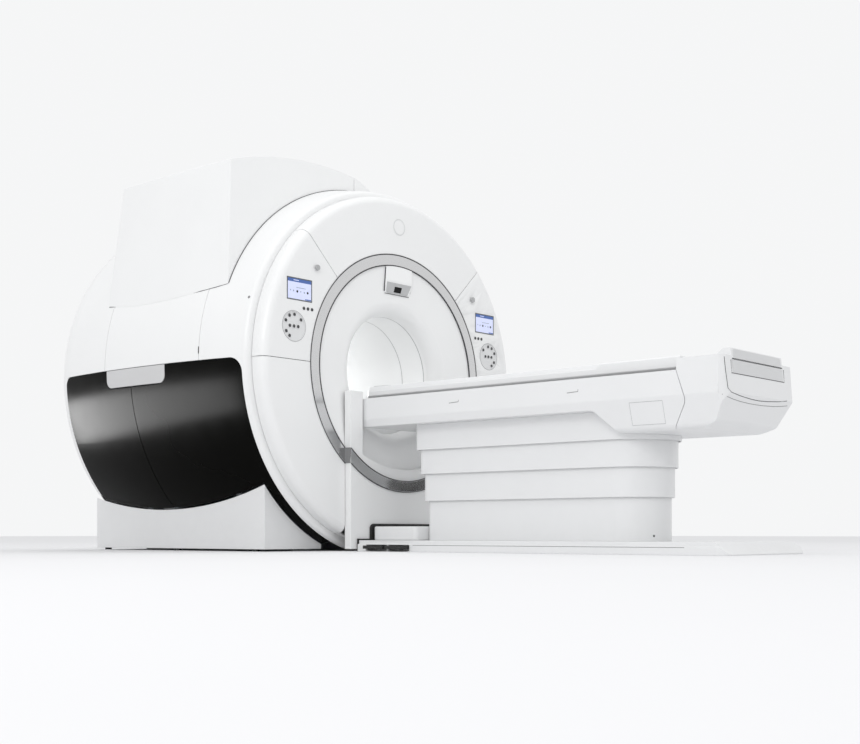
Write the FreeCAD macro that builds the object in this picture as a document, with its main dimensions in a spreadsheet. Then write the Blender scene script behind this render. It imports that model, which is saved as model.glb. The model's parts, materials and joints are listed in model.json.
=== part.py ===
"""MRI scanner: a tunnel magnet under moulded covers, with a lifting patient table docked at its front.

Millimetres. The origin is on the floor below the isocentre, the middle of the magnet. +Z is up, +Y runs
along the bore away from the table, and the left side is -X. Places along the bore are given from the
front face of the covers, because that face is what the covers, the funnel and the table line up with.
"""
import FreeCAD, Part

import math
import os

import Sketcher

SIZES = {
    # whole machine
    "iso_height": 1050,        # bore axis above the floor
    "face_to_centre": 930,     # front face to the isocentre
    "magnet_depth": 1830,      # front face to the rear face
    "bore_radius": 350,
    "cover_wall": 6,
    "barrel_wall": 8,
    "fine_step": 30,           # degrees of each straight step of a rounding that shows
    "panel_gap": 3,            # seam between two covers
    "seat_gap": 0.3,           # clearance where one piece is seated on another
    "floor_gap": 12,           # covers stop this far above the floor
    # parts inside the magnet
    "tube_wall": 6,
    "body_coil_wall": 12,
    "coil_tail": 37,           # of the body coil, past the start of the rear funnel
    "gradient_wall": 100,
    "gradient_length": 1420,
    "vessel_radius": 960,
    "vessel_length": 1480,
    "vessel_edge": 40,
    "vessel_wall": 30,
    "rail_width": 140,
    "rail_height": 40,
    "rail_offset": 560,
    "rail_length": 1400,
    "anchor_spacing": 1280,    # along the bore
    "anchor_radius": 13,
    "bracket_width": 60,
    "bracket_height": 20,
    "bracket_thick": 12,
    "bracket_offset": 300,
    "saddle_offset": 420,
    "saddle_thick": 100,
    "saddle_half_width": 535,
    "turret_x": -420,
    "turret_y": 800,           # from the front face
    "turret_radius": 150,
    "turret_rise": 20,         # above the vessel
    "turret_sink": 180,        # below the vessel's highest line
    "neck_radius": 60,
    "neck_sink": 50,
    "port_clearance": 30,      # of the opening in the upper shell round the turret
    "cold_head_radius": 110,
    "cold_head_height": 165,
    # funnel and bright ring
    "funnel_radius": 638,
    "funnel_set_back": 5,
    "funnel_cone": 31,
    "funnel_lip": 95,
    "funnel_depth": 125,
    "tube_seam": 310,
    "tube_groove": 2,
    "ring_inner": 641,
    "ring_width": 63,
    "ring_depth": 14,
    "ring_proud": 2,
    "ring_seam": 2,
    "ring_bevel": 2.5,
    "ring_step_depth": 6,      # the piece of the ring in front of the dock
    "hub_offset": 15,          # from the ring to the drum behind the front covers
    "hub_wall": 10,
    "hub_rim": 6,
    "frame_wall": 12,
    "frame_lip": 30,
    # front covers
    "front_radius": 1045,
    "front_round": 50,
    "rim_depth": 92,
    "cover_seam_height": 1055,
    "lip_reach": 32,
    "lip_wall": 10,
    "shoulder_wall": 12,
    # barrel, the crowned skin round the magnet
    "barrel_crest": 1187,
    "barrel_bow": 4744,
    "barrel_crest_at": 1083,
    "shell_start": 95,
    "shoulder_end": 200,
    "shoulder_round": 30,
    "bead_width": 30,
    "front_shell_end": 430,
    "side_shell_end": 1260,
    "barrel_tail": 1700,
    "lining_middle": 715,      # where the inner face of the skin turns between two hoops
    "lining_rear": 1500,
    "hoop_width": 40,
    "hoop_thick": 14,
    "bar_height": 50,
    "tail_round": 74,
    "tail_drop": 17,
    "rear_radius": 1045,
    "rear_lip_step": 4,
    "rear_lip_reach": 18,
    # black side panels and their grey tab
    "black_corner": 85,
    "black_rear": 1728,
    "black_rear_corner": 50,
    "black_split": 1000,
    "tab_start": 700,
    "tab_end": 1240,
    "tab_height": 105,
    "tab_corner": 45,
    # plinth
    "plinth_half_width": 875,
    "plinth_start": 190,
    "plinth_end": 1810,
    "plinth_return": 425,
    "foot_radius": 20,
    # top housing
    "housing_front": 300,
    "housing_rise": 39,        # above the barrel
    "housing_level_gap": 124,  # from the housing's crest up to the level of its upper plan outline
    "housing_levels": 1100,    # and from there down to its lower plan outline
    "housing_arch_end": 1250,
    "housing_rear_low": 1335,
    "housing_rear_high": 1304,
    "housing_left_low": 1044,  # front edge of the left side
    "housing_left_high": 1014,
    "housing_left_rear_low": 1130,
    "housing_left_rear_high": 988,
    "housing_side_bow_low": 3130,
    "housing_side_bow_high": 3500,
    "housing_crest_x": -360,
    "housing_bow": 2068,
    "housing_split": -80,
    "housing_end_bow": 378,
    "housing_end": 130,
    "housing_end_drop": 117,
    # rear
    "rear_funnel_radius": 515,
    "rear_flange": 20,
    "rear_funnel_lip": 70,
    "rear_funnel_cone": 30,
    "rear_funnel_start": 1703,
    # displays, keys and buttons on the upper front covers
    "display_x": 786,
    "display_height": 1443,
    "display_wide": 182,
    "display_tall": 123,
    "display_deep": 20,
    "bezel": 5,
    "screen_proud": 1,
    "screen_sink": 1.2,
    "dish_x": 826,
    "dish_height": 1237.5,
    "dish_radius": 85,
    "dish_deep": 10,
    "dish_rim": 6,
    "dish_sink": 3.5,
    "key_radius": 8,
    "key_ring": 64,
    "key_set_back": 0.5,
    "key_pitch": 30,
    "key_row_x": 725,
    "key_row_height": 1343,
    "button_x": 661,
    "button_height": 1581,
    "button_radius": 16,
    "button_stem": 8,
    "button_travel": 5,
    "button_play": 1,
    "button_cap": 8,
    "button_length": 30,
    # camera hood
    "hood_half_width": 110,
    "hood_face_low": 1590,
    "hood_low": 1514,
    "hood_back": 26,
    "hood_proud": 3,
    "hood_flat": 60,
    "window_half_width": 30,
    "window_deep": 5,
    "window_lean": 2,
    # dock fairing
    "fairing_half_width": 440,
    "fairing_height": 915,
    "fairing_forward": 45,
    "fairing_wall": 8,
    "recess_half_width": 345,
    "recess_bottom": 477,
    "recess_bow": 792,
    # bridge inside the bore
    "bridge_top": 880.5,
    "bridge_groove": 6,
    # table
    "table_half_width": 330,
    "table_crease_half_width": 333,
    "table_crease_height": 755,
    "table_foot_half_width": 286,
    "table_wall": 5,
    "table_dock_end": 8,
    "side_cover_top": 875,
    "beam_bottom": 712,
    "pod_bottom": 595,
    "pod_slope_end": 1775,
    "pod_slope_start": 1640,
    "pod_slope_share": 0.6,
    "pod_round": 40,
    "slope_round": 60,
    "crease_round": 30,
    "table_section_spare": 170,
    "nose_foot": 150,          # from the cap's outer end back to where its underside starts to rise
    "nose_back": 68,
    "nose_rise": 30,
    "nose_round": 22,
    "cap_plan_round": 90,
    "cap_plan_spare": 20,      # the plan outline is wider than the sides, so that only its corners bite
    "cap_top": 930,
    "cap_length": 263.5,
    "cap_lean": 13,
    "cap_nose_height": 752,
    "hump_top": 969,
    "hump_half_width": 250,
    "hump_length": 90,
    "hump_wall": 14,
    "hump_step": 4,
    "hump_round": 25,
    "hump_end_round": 6,
    "seam_out": 52,            # bend of the seam between the side covers and the end cap
    "seam_drop": 25,
    "seam_back": 36,
    "well_roof": 4,
    "ram_clearance": 4,
    "cradle_half_width": 285,
    "cradle_bottom": 882,
    "cradle_top": 948,
    "cradle_start": 12,
    "cradle_length": 2113,
    "cradle_end_gap": 6.5,
    "cradle_rim": 50,
    "cradle_nose": 22,
    "cradle_edge": 12,
    "cradle_round": 8,
    "cradle_dish_bow": 745,
    "rebate_height": 922,
    "rebate_width": 23,
    "rebate_end": 1660,
    "rebate_slope": 24,
    "port_x": 205,
    "port_y": 68,
    "port_length": 130,
    "port_width": 46,
    "port_round": 20.7,
    "port_top": 958,
    "chassis_half_width": 240,
    "cradle_rail_width": 40,
    "chassis_bottom": 760,
    "chassis_near_gap": 30,    # from the table's docked end
    "chassis_end_gap": 107,    # from the end cap's outer end
    "chassis_play": 0.5,       # below the cradle
    "cross_member_width": 50,
    "cross_member_height": 60,
    "lift_plate_height": 20,
    "lift_plate_spare": 60,    # past the mast on each side
    "outrigger_width": 40,
    "outrigger_height": 20,
    # end handle
    "handle_half_width": 245,
    "handle_low": 848,
    "handle_high": 912,
    "handle_thick": 9,
    "handle_axis_height": 900,
    "handle_axis_depth": 3,    # behind the end of the cap's top
    "handle_pin": 4,
    "handle_pin_reach": 10,
    "handle_pin_wall": 3,
    "handle_proud": 1,
    "handle_gap": 1.5,
    "handle_cheek": 14,
    "handle_pocket": 18,
    "handle_backing": 32,
    "pin_play": 0.05,
    # column
    "column_half_width": 245,
    "column_inset": 17,
    "column_near": 350,
    "column_far": 1672,
    "column_corner": 40,
    "column_wall": 6,
    "band_top": 570,
    "band_middle": 434.5,
    "band_lower": 283.5,
    "band_overlap": 30,
    "wiper_height": 10,
    "wiper_gap": 0.4,
    "mast_half_width": 100,
    "mast_wall": 12,
    "mast_top": 540,
    "mast_y": 1030,
    "ram_half_width": 82,
    "ram_wall": 10,
    "ram_bottom": 215,
    # floor plate and what stands on it
    "plate_half_width": 400,
    "plate_end": 2440,
    "plate_step": 41,
    "plate_top": 62,
    "plate_round": 60,
    "plate_inset": 12,
    "plate_bevel": 64,
    "plate_nose": 6,
    "seal_depth": 12,
    "seal_half_width": 293,
    "seal_top": 157,
    "seal_foot_half_width": 394,
    "seal_foot_top": 71,
    "bridge_half_width": 279,
    "bridge_top_height": 141,
    "bridge_round": 28,
    "pedal_start": 133,
    "pedal_length": 154,
    "pedal_pitch": 171,
    "pedal_reach": 438,
    "pedal_low": 15,
    "pedal_thick": 18,
    "pedal_axis_x": 345,
    "pedal_axis_height": 24,
    "pedal_pin": 4,
    "pedal_pin_reach": 8,
    "pedal_round": 10,
    "pedal_play": 4,
    "slot_below": 20,
    "slot_above": 13,
}

doc = FreeCAD.newDocument("mri_scanner")
sheet = doc.addObject("Spreadsheet::Sheet", "Sizes")
V = FreeCAD.Vector


class Size:
    """A size as a formula on the sheet's cells, with the value that the formula has now."""

    def __init__(self, text, value):
        self.text = text
        self.value = value

    def joined(self, sign, other, value):
        return Size("(%s %s %s)" % (self.text, sign, other.text), value)

    def __add__(self, other):
        other = as_size(other)
        return self.joined("+", other, self.value + other.value)

    def __sub__(self, other):
        other = as_size(other)
        return self.joined("-", other, self.value - other.value)

    def __mul__(self, other):
        other = as_size(other)
        return self.joined("*", other, self.value * other.value)

    def __truediv__(self, other):
        other = as_size(other)
        return self.joined("/", other, self.value / other.value)

    def __neg__(self):
        return as_size(0) - self

    def __radd__(self, other):
        return as_size(other) + self

    def __rsub__(self, other):
        return as_size(other) - self

    def __rmul__(self, other):
        return as_size(other) * self


def as_size(number):
    if isinstance(number, Size):
        return number
    return Size("(%s)" % number, float(number))


def root(size):
    return Size("sqrt(%s)" % size.text, math.sqrt(size.value))


class Sheet:
    """Every size of the table as an attribute, tied to its cell."""


s = Sheet()
for row, (size_name, size_value) in enumerate(SIZES.items(), 1):
    sheet.set("A%d" % row, size_name)
    sheet.set("B%d" % row, str(size_value))
    sheet.setAlias("B%d" % row, size_name)
    setattr(s, size_name, Size("Sizes." + size_name, float(size_value)))
doc.recompute()


def bind(thing, path, size):
    """Tie one property of an object to the sheet."""
    thing.setExpression(path, as_size(size).text)


def behind(distance):
    """Row Y of a place that lies this far behind the front face."""
    return as_size(distance) - s.face_to_centre


def ahead(distance):
    """Row Y of a place that lies this far in front of the front face, on the table's side."""
    return -(as_size(distance) + s.face_to_centre)


# ---------------------------------------------------------------- outlines

class Corner:
    """A corner of an outline. round rounds it; bow is the radius of the edge that leaves it.

    A positive bow swells outwards on an outline drawn counter-clockwise, a negative one inwards.
    """

    def __init__(self, u, v, round=None, bow=None):
        self.u = as_size(u)
        self.v = as_size(v)
        self.round = None if round is None else as_size(round)
        self.bow = None if bow is None else as_size(bow)

    def point(self):
        return V(self.u.value, self.v.value, 0)


def rounding(before, corner, after):
    """Where a rounded corner's arc starts and ends, and its centre."""
    here = corner.point()
    back = (before.point() - here).normalize()
    on = (after.point() - here).normalize()
    half = back.getAngle(on) / 2
    run = corner.round.value / math.tan(half)
    middle = (back + on).normalize() * (corner.round.value / math.sin(half))
    return here + back * run, here + on * run, here + middle


def arc_between(start, end, centre, swell):
    """An arc as the sketcher wants it, always counter-clockwise, and the numbers of its two ends."""
    radius = (start - centre).Length
    circle = Part.Circle(centre, V(0, 0, 1), radius)
    if swell < 0:
        start, end = end, start
    first = math.atan2(start.y - centre.y, start.x - centre.x)
    last = math.atan2(end.y - centre.y, end.x - centre.x)
    if last <= first:
        last += 2 * math.pi
    return Part.ArcOfCircle(circle, first, last), (1, 2) if swell > 0 else (2, 1)


def draw(sketch, corners):
    """Draw a closed outline and dimension every corner, rounding and bow from the sheet."""
    count = len(corners)
    turns = [
        rounding(corners[i - 1], corners[i], corners[(i + 1) % count]) if corners[i].round else None
        for i in range(count)
    ]
    edges = []
    for i, corner in enumerate(corners):
        after = (i + 1) % count
        start = turns[i][1] if turns[i] else corner.point()
        end = turns[after][0] if turns[after] else corners[after].point()
        if corner.bow is None:
            edges.append((sketch.addGeometry(Part.LineSegment(start, end), False), 1, 2))
            continue
        along = end - start
        left = V(-along.y, along.x, 0).normalize()
        rise = math.sqrt(max(corner.bow.value ** 2 - along.Length ** 2 / 4, 0))
        centre = (start + end) / 2 + left * (rise if corner.bow.value > 0 else -rise)
        arc, ends = arc_between(start, end, centre, corner.bow.value)
        edges.append((sketch.addGeometry(arc, False),) + ends)
    for i, corner in enumerate(corners):
        before, here = edges[i - 1], edges[i]
        if turns[i]:
            start, end, centre = turns[i]
            swell = (start - centre).cross(end - centre).z
            arc, ends = arc_between(start, end, centre, swell)
            turn = sketch.addGeometry(arc, False)
            tip = sketch.addGeometry(Part.Point(corner.point()), True)
            constrain(sketch, "Tangent", before[0], before[2], turn, ends[0])
            constrain(sketch, "Tangent", turn, ends[1], here[0], here[1])
            dimension(sketch, corner.round, "Radius", turn)
            constrain(sketch, "PointOnObject", tip, 1, before[0])
            constrain(sketch, "PointOnObject", tip, 1, here[0])
            held = (tip, 1)
        else:
            constrain(sketch, "Coincident", before[0], before[2], here[0], here[1])
            held = (here[0], here[1])
        dimension(sketch, corner.u, "DistanceX", -1, 1, *held)
        dimension(sketch, corner.v, "DistanceY", -1, 1, *held)
        if corner.bow is not None:
            size = corner.bow if corner.bow.value > 0 else -corner.bow
            dimension(sketch, size, "Radius", here[0])


def constrain(sketch, kind, *places):
    return sketch.addConstraint(Sketcher.Constraint(kind, *places))


def dimension(sketch, size, kind, *places):
    number = sketch.addConstraint(Sketcher.Constraint(kind, *places, size.value))
    bind(sketch, "Constraints[%d]" % number, size)


# ---------------------------------------------------------------- solids

# how a drawing plane lies in the room, and the way its prisms run
PLANES = {
    "front": (FreeCAD.Rotation(V(1, 0, 0), 90), V(0, 1, 0), "y"),     # drawn in X, Z and run along Y
    "side": (FreeCAD.Rotation(V(1, 1, 1), 120), V(1, 0, 0), "x"),     # drawn in Y, Z and run along X
    "plan": (FreeCAD.Rotation(), V(0, 0, 1), "z"),                    # drawn in X, Y and run along Z
}


def free_sketch(name, plane, corners, level):
    """A sketch on a plane that stands at the given level along the plane's own direction."""
    sketch = doc.addObject("Sketcher::SketchObject", name)
    rotation, _, axis = PLANES[plane]
    sketch.Placement = FreeCAD.Placement(V(0, 0, 0), rotation)
    bind(sketch, "Placement.Base." + axis, level)
    draw(sketch, corners)
    return sketch


def prism(name, plane, corners, low, high):
    """An outline run from one level to another."""
    sketch = free_sketch(name + "_outline", plane, corners, low)
    run = doc.addObject("Part::Extrusion", name)
    run.Base = sketch
    run.DirMode = "Custom"
    run.Dir = PLANES[plane][1]
    run.Solid = True
    bind(run, "LengthFwd", as_size(high) - low)
    return run


def origin_plane(body, role):
    return next(item for item in body.Origin.OriginFeatures if item.Role == role)


def body_sketch(body, role, corners):
    sketch = body.newObject("Sketcher::SketchObject", body.Name + "_profile")
    sketch.AttachmentSupport = [(origin_plane(body, role), "")]
    sketch.MapMode = "FlatFace"
    draw(sketch, corners)
    return sketch


def turned(name, corners):
    """A ring or tube turned about the bore axis, from a profile in (row Y, radius)."""
    body = doc.addObject("PartDesign::Body", name)
    sketch = body_sketch(body, "YZ_Plane", corners)
    turn = body.newObject("PartDesign::Revolution", name + "_turn")
    turn.Profile = sketch
    turn.ReferenceAxis = (sketch, ["H_Axis"])
    turn.Angle = 360
    body.Tip = turn
    bind(body, "Placement.Base.z", s.iso_height)
    return body


def padded_plan(name, corners, low, high):
    """A body padded up from a plan outline."""
    body = doc.addObject("PartDesign::Body", name)
    sketch = body_sketch(body, "XY_Plane", corners)
    bind(sketch, "AttachmentOffset.Base.z", low)
    pad = body.newObject("PartDesign::Pad", name + "_pad")
    pad.Profile = sketch
    bind(pad, "Length", as_size(high) - low)
    body.Tip = pad
    return body


def block(name, x, y, z):
    """A box between two places on each axis."""
    box = doc.addObject("Part::Box", name)
    for axis, side, (low, high) in (("x", "Length", x), ("y", "Width", y), ("z", "Height", z)):
        bind(box, "Placement.Base." + axis, low)
        bind(box, side, as_size(high) - low)
    return box


def rod(name, axis, radius, start, length):
    """A cylinder along an axis from its start point."""
    cylinder = doc.addObject("Part::Cylinder", name)
    lean = {
        "x": FreeCAD.Rotation(V(0, 1, 0), 90),
        "y": FreeCAD.Rotation(V(1, 0, 0), -90),
        "z": FreeCAD.Rotation(),
    }
    cylinder.Placement = FreeCAD.Placement(V(0, 0, 0), lean[axis])
    for letter, place in zip("xyz", start):
        bind(cylinder, "Placement.Base." + letter, place)
    bind(cylinder, "Radius", radius)
    bind(cylinder, "Height", length)
    return cylinder


def joined(name, *shapes):
    fuse = doc.addObject("Part::MultiFuse", name)
    fuse.Shapes = list(shapes)
    return fuse


def cut(name, base, *tools):
    tool = tools[0] if len(tools) == 1 else joined(name + "_tools", *tools)
    result = doc.addObject("Part::Cut", name)
    result.Base = base
    result.Tool = tool
    return result


def shared(name, *shapes):
    """What several shapes have in common."""
    result = shapes[0]
    for number, other in enumerate(shapes[1:]):
        last = number == len(shapes) - 2
        common = doc.addObject("Part::Common", name if last else "%s_%d" % (name, number))
        common.Base = result
        common.Tool = other
        result = common
    return result


def mirrored(name, source):
    mirror = doc.addObject("Part::Mirroring", name)
    mirror.Source = source
    mirror.Normal = V(1, 0, 0)
    return mirror


nodes = []


def node(name, thing):
    """Name a finished sub-part."""
    thing.Label = name
    nodes.append(thing)
    return thing


def both_sides(name, left):
    """The left sub-part and its mirror image on the right."""
    node(name + "_left", left)
    node(name + "_right", mirrored(left.Name + "_right", left))


FAR = s.barrel_crest * 1.2                 # past every cover, for tools that only divide
HIGH = s.iso_height + FAR
ALONG = (-FAR, FAR)
CLEAR = s.panel_gap                        # how far a cutting tool runs past what it cuts
HALF_DIAGONAL = 0.7071

# places on the magnet and the table that follow from other sizes
TOP = s.iso_height + s.barrel_crest        # highest line of the barrel
FUNNEL_WALL = s.cover_wall - 1
RING_OUTER = s.ring_inner + s.ring_width
CAP_START = s.cradle_start + s.cradle_length + s.cradle_end_gap
CAP_END = CAP_START + s.cap_length
CAP_TOP_END = CAP_END - s.cap_lean


# ---------------------------------------------------------------- the barrel's curve

def barrel(distance, inset=0):
    """Radius of the crowned skin, or of a surface that lies inside it, this far behind the front face."""
    reach = as_size(distance) - s.barrel_crest_at
    bow = s.barrel_bow - inset
    return s.barrel_crest - s.barrel_bow + root(bow * bow - reach * reach)


def lining(start, end, inset):
    """Corners of a line inside the skin that runs straight between the flat hoops that it seats on."""
    start, end = as_size(start), as_size(end)
    turns = [s.front_shell_end, s.lining_middle, s.black_split, s.side_shell_end, s.lining_rear]
    places = [s.shell_start] + turns + [s.barrel_tail + 40]

    def radius(place):
        low, high = next(
            (a, b) for a, b in zip(places, places[1:]) if place.value <= b.value or b is places[-1]
        )
        share = (place - low) / (high - low)
        return barrel(low) + (barrel(high) - barrel(low)) * share - inset

    inside = [place for place in turns if start.value < place.value < end.value]
    return [Corner(behind(place), radius(place)) for place in [start, *inside, end]]


def skin(name, start, end):
    """A band of the barrel's skin turned about the bore: crowned outside, and lined with straight runs."""
    return turned(name, [
        *lining(start, end, s.barrel_wall),
        Corner(behind(end), barrel(end), bow=s.barrel_bow),
        Corner(behind(start), barrel(start)),
    ])


def chords(centre_y, centre_radius, radius, first, last, most=45):
    """Corners of a turn in straight steps of at most so many degrees, which mesh far lighter than an arc."""
    steps = max(1, math.ceil(abs(last - first) / most - 0.1))
    corners = []
    for step in range(steps + 1):
        angle = math.radians(first + (last - first) * step / steps)
        corners.append(Corner(
            centre_y + radius * round(math.cos(angle), 6), centre_radius + radius * round(math.sin(angle), 6)
        ))
    return corners


# ---------------------------------------------------------------- inside the magnet

def floor_frame():
    """Rails bolted to the floor, saddles that carry the vessel and brackets that hold the plinth."""
    rail = block(
        "rail",
        (-(s.rail_offset + s.rail_width / 2), -(s.rail_offset - s.rail_width / 2)),
        (-s.rail_length / 2, s.rail_length / 2),
        (0, s.rail_height),
    )
    vessel_space = rod(
        "vessel_space", "y", s.vessel_radius + s.seat_gap, (0, -s.vessel_length / 2, s.iso_height),
        s.vessel_length,
    )
    rise = root(s.vessel_radius * s.vessel_radius - s.saddle_half_width * s.saddle_half_width)
    saddles = []
    for side in (-1, 1):
        middle = s.saddle_offset * side
        saddles.append(block(
            "saddle", (-s.saddle_half_width, s.saddle_half_width),
            (middle - s.saddle_thick / 2, middle + s.saddle_thick / 2), (0, s.iso_height - rise),
        ))
    brackets = []
    for side in (-1, 1):
        middle = s.bracket_offset * side
        bracket = block(
            "plinth_bracket", (-(s.plinth_half_width - s.barrel_wall - s.seat_gap), -s.rail_offset),
            (middle - s.bracket_width / 2, middle + s.bracket_width / 2),
            (s.bracket_height, s.bracket_height + s.bracket_thick),
        )
        brackets += [bracket, mirrored("plinth_bracket_right", bracket)]
    frame = joined("frame_blank", rail, mirrored("rail_right", rail), *saddles, *brackets)
    holes = [
        rod(
            "anchor_hole", "z", s.anchor_radius, (s.rail_offset * x, s.anchor_spacing / 2 * y, -CLEAR),
            s.rail_height + 2 * CLEAR,
        )
        for x in (-1, 1) for y in (-1, 1)
    ]
    node("floor_frame", cut("floor_frame", frame, vessel_space, *holes))


def magnet():
    """Vessel with its turret, and inside it the gradient coil, the body coil and the patient tube."""
    gap = s.seat_gap
    tube_out = s.bore_radius + s.tube_wall
    coil_in = tube_out + gap
    coil_out = coil_in + s.body_coil_wall
    gradient_in = coil_out + gap
    gradient_out = gradient_in + s.gradient_wall
    vessel_in = gradient_out + gap

    def ring(name, start, end, inner, outer):
        return turned(name, [
            Corner(start, inner), Corner(end, inner), Corner(end, outer), Corner(start, outer),
        ])

    half = s.vessel_length / 2
    edge = s.vessel_edge
    drum = turned("vessel_drum", [
        Corner(-half, vessel_in), Corner(half, vessel_in),
        Corner(half, s.vessel_radius - edge), Corner(half - edge, s.vessel_radius),
        Corner(-half + edge, s.vessel_radius), Corner(-half, s.vessel_radius - edge),
    ])
    # one thick wall stands for the nested tanks, shields and windings
    room_half = half - s.vessel_wall
    room = ring(
        "vessel_room", -room_half, room_half, vessel_in + s.vessel_wall,
        s.vessel_radius - s.vessel_wall - edge / 2,
    )
    tall = s.turret_rise + s.turret_sink
    foot = s.iso_height + s.vessel_radius - s.turret_sink
    turret = rod("turret", "z", s.turret_radius, (s.turret_x, behind(s.turret_y), foot), tall)
    neck = rod(
        "turret_neck", "z", s.neck_radius, (s.turret_x, behind(s.turret_y), foot - s.neck_sink),
        tall + s.neck_sink + CLEAR,
    )
    walls = joined("vessel_walls", cut("vessel_hollow", drum, room), turret)
    node("magnet_vessel", cut("magnet_vessel", walls, neck))
    node("gradient_coil", ring(
        "gradient_coil", -s.gradient_length / 2, s.gradient_length / 2, gradient_in, gradient_out
    ))
    node("body_coil", ring(
        "body_coil", behind(s.funnel_depth - s.panel_gap), behind(s.rear_funnel_start + s.coil_tail),
        coil_in, coil_out,
    ))
    # the tube shows a fine joint line a little way in
    seam = s.tube_seam
    node("patient_tube", turned("patient_tube", [
        Corner(behind(s.funnel_depth + s.panel_gap), s.bore_radius),
        Corner(behind(seam), s.bore_radius),
        Corner(behind(seam), s.bore_radius + s.tube_groove),
        Corner(behind(seam + s.tube_groove), s.bore_radius + s.tube_groove),
        Corner(behind(seam + s.tube_groove), s.bore_radius),
        Corner(behind(s.rear_funnel_start - s.panel_gap), s.bore_radius),
        Corner(behind(s.rear_funnel_start - s.panel_gap), tube_out),
        Corner(behind(s.funnel_depth + s.panel_gap), tube_out),
    ]))


def cold_head():
    """Refrigerator head on the turret: flange, neck, motor and valve cap on an upright axis."""
    radius = s.cold_head_radius
    height = s.cold_head_height
    seat = s.iso_height + s.vessel_radius + s.turret_rise
    steps = ((1, 0.12), (0.62, 0.62), (0.8, 0.72), (0.45, 1))
    pieces = []
    for number, (wide, top) in enumerate(steps):
        pieces.append(rod(
            "head_step", "z", radius * wide, (s.turret_x, behind(s.turret_y), seat), height * top
        ))
    node("cold_head", joined("cold_head", *pieces))


def bore_bridge():
    """Flat-topped tray in the bottom of the bore that carries the cradle."""
    start = behind(s.funnel_depth + s.panel_gap)
    length = s.rear_funnel_start - s.funnel_depth - 2 * s.panel_gap
    filling = rod("bore_filling", "y", s.bore_radius - s.seat_gap, (0, start, s.iso_height), length)
    below = block("below_bridge", ALONG, (start, start + length), (0, s.bridge_top))
    groove = block(
        "bridge_groove", (-s.chassis_half_width, -s.chassis_half_width + s.cradle_rail_width),
        (start - CLEAR, start + length + CLEAR), (s.bridge_top - s.bridge_groove, s.bridge_top + CLEAR),
    )
    solid = shared("bridge_solid", filling, below)
    node("bore_bridge", cut("bore_bridge", solid, groove, mirrored("bridge_groove_right", groove)))


def cover_frames():
    """Drum behind the front covers, and hoops behind the seams of the barrel."""
    seat = s.cover_wall + s.seat_gap
    rebate = s.ring_depth + s.seat_gap
    hub_in = RING_OUTER + s.hub_offset
    hub_out = hub_in + s.hub_wall
    ring_edge = RING_OUTER + s.panel_gap
    under = s.frame_lip
    cone_slope = s.funnel_cone / (s.funnel_radius - s.bore_radius - FUNNEL_WALL)
    funnel_back = s.funnel_set_back + FUNNEL_WALL + s.seat_gap
    node("front_frame", turned("front_frame", [
        Corner(behind(funnel_back), s.funnel_radius),
        Corner(behind(funnel_back + cone_slope * under), s.funnel_radius - under),
        Corner(behind(rebate + s.frame_wall), s.funnel_radius - under),
        Corner(behind(rebate + s.frame_wall), hub_in),
        Corner(-s.vessel_length / 2 - s.seat_gap, hub_in),
        Corner(-s.vessel_length / 2 - s.seat_gap, hub_out),
        Corner(behind(rebate), hub_out),
        Corner(behind(rebate), hub_out + s.hub_rim),
        Corner(behind(seat), hub_out + s.hub_rim),
        Corner(behind(seat), ring_edge),
        Corner(behind(rebate), ring_edge),
        Corner(behind(rebate), s.funnel_radius),
    ]))
    # a hoop is a plain ring that bears on the skin at its low edge, and a bar joins the hoops on each side
    half = s.hoop_width / 2
    inset = s.barrel_wall + s.seat_gap
    low_radius = lining(s.front_shell_end - half, s.front_shell_end, inset)[0].v
    hoop_in = low_radius - s.hoop_thick
    hoops = []
    for place, low_edge in ((s.front_shell_end, -half), (s.black_split, -half), (s.side_shell_end, half)):
        bearing = lining(place + low_edge, place + half, inset)[0].v
        hoops.append(turned("hoop_ring", [
            Corner(behind(place - half), hoop_in), Corner(behind(place + half), hoop_in),
            Corner(behind(place + half), bearing), Corner(behind(place - half), bearing),
        ]))
    bar = block(
        "seam_bar", (-low_radius + s.hoop_thick / 2, -hoop_in + s.hoop_thick / 2),
        (behind(s.front_shell_end), behind(s.side_shell_end)),
        (s.cover_seam_height - s.bar_height / 2, s.cover_seam_height + s.bar_height / 2),
    )
    above = block(
        "hoops_above_rails", ALONG, (behind(0), behind(s.magnet_depth)),
        (s.rail_height + s.seat_gap, HIGH),
    )
    frame = joined("side_frame_whole", *hoops, bar, mirrored("seam_bar_right", bar))
    node("side_frame", shared("side_frame", frame, above))


# ---------------------------------------------------------------- front of the magnet

def funnel():
    """Tunnel mouth: a shallow cone that rolls over a lip into the bore."""
    wall = FUNNEL_WALL
    # the back of the lip turns in two chords about the centre of the front's rounding
    rise = s.funnel_radius - s.bore_radius
    slant = root(rise * rise + s.funnel_cone * s.funnel_cone)
    lip = s.funnel_lip
    centre_y = behind(s.funnel_set_back + s.funnel_cone) + (lip * slant - lip * s.funnel_cone) / rise
    centre_radius = s.bore_radius + lip
    lean = math.degrees(math.atan2(s.funnel_cone.value, rise.value))
    back_turn = chords(centre_y, centre_radius, lip - wall, 270, 180 + lean)
    node("tunnel_funnel", turned("tunnel_funnel", [
        Corner(behind(s.funnel_set_back), s.funnel_radius),
        *chords(centre_y, centre_radius, lip, 180 + lean, 270, s.fine_step.value),
        Corner(behind(s.funnel_depth), s.bore_radius),
        Corner(behind(s.funnel_depth), s.bore_radius + wall),
        *back_turn,
        Corner(behind(s.funnel_set_back + wall), s.funnel_radius),
    ]))


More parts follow.
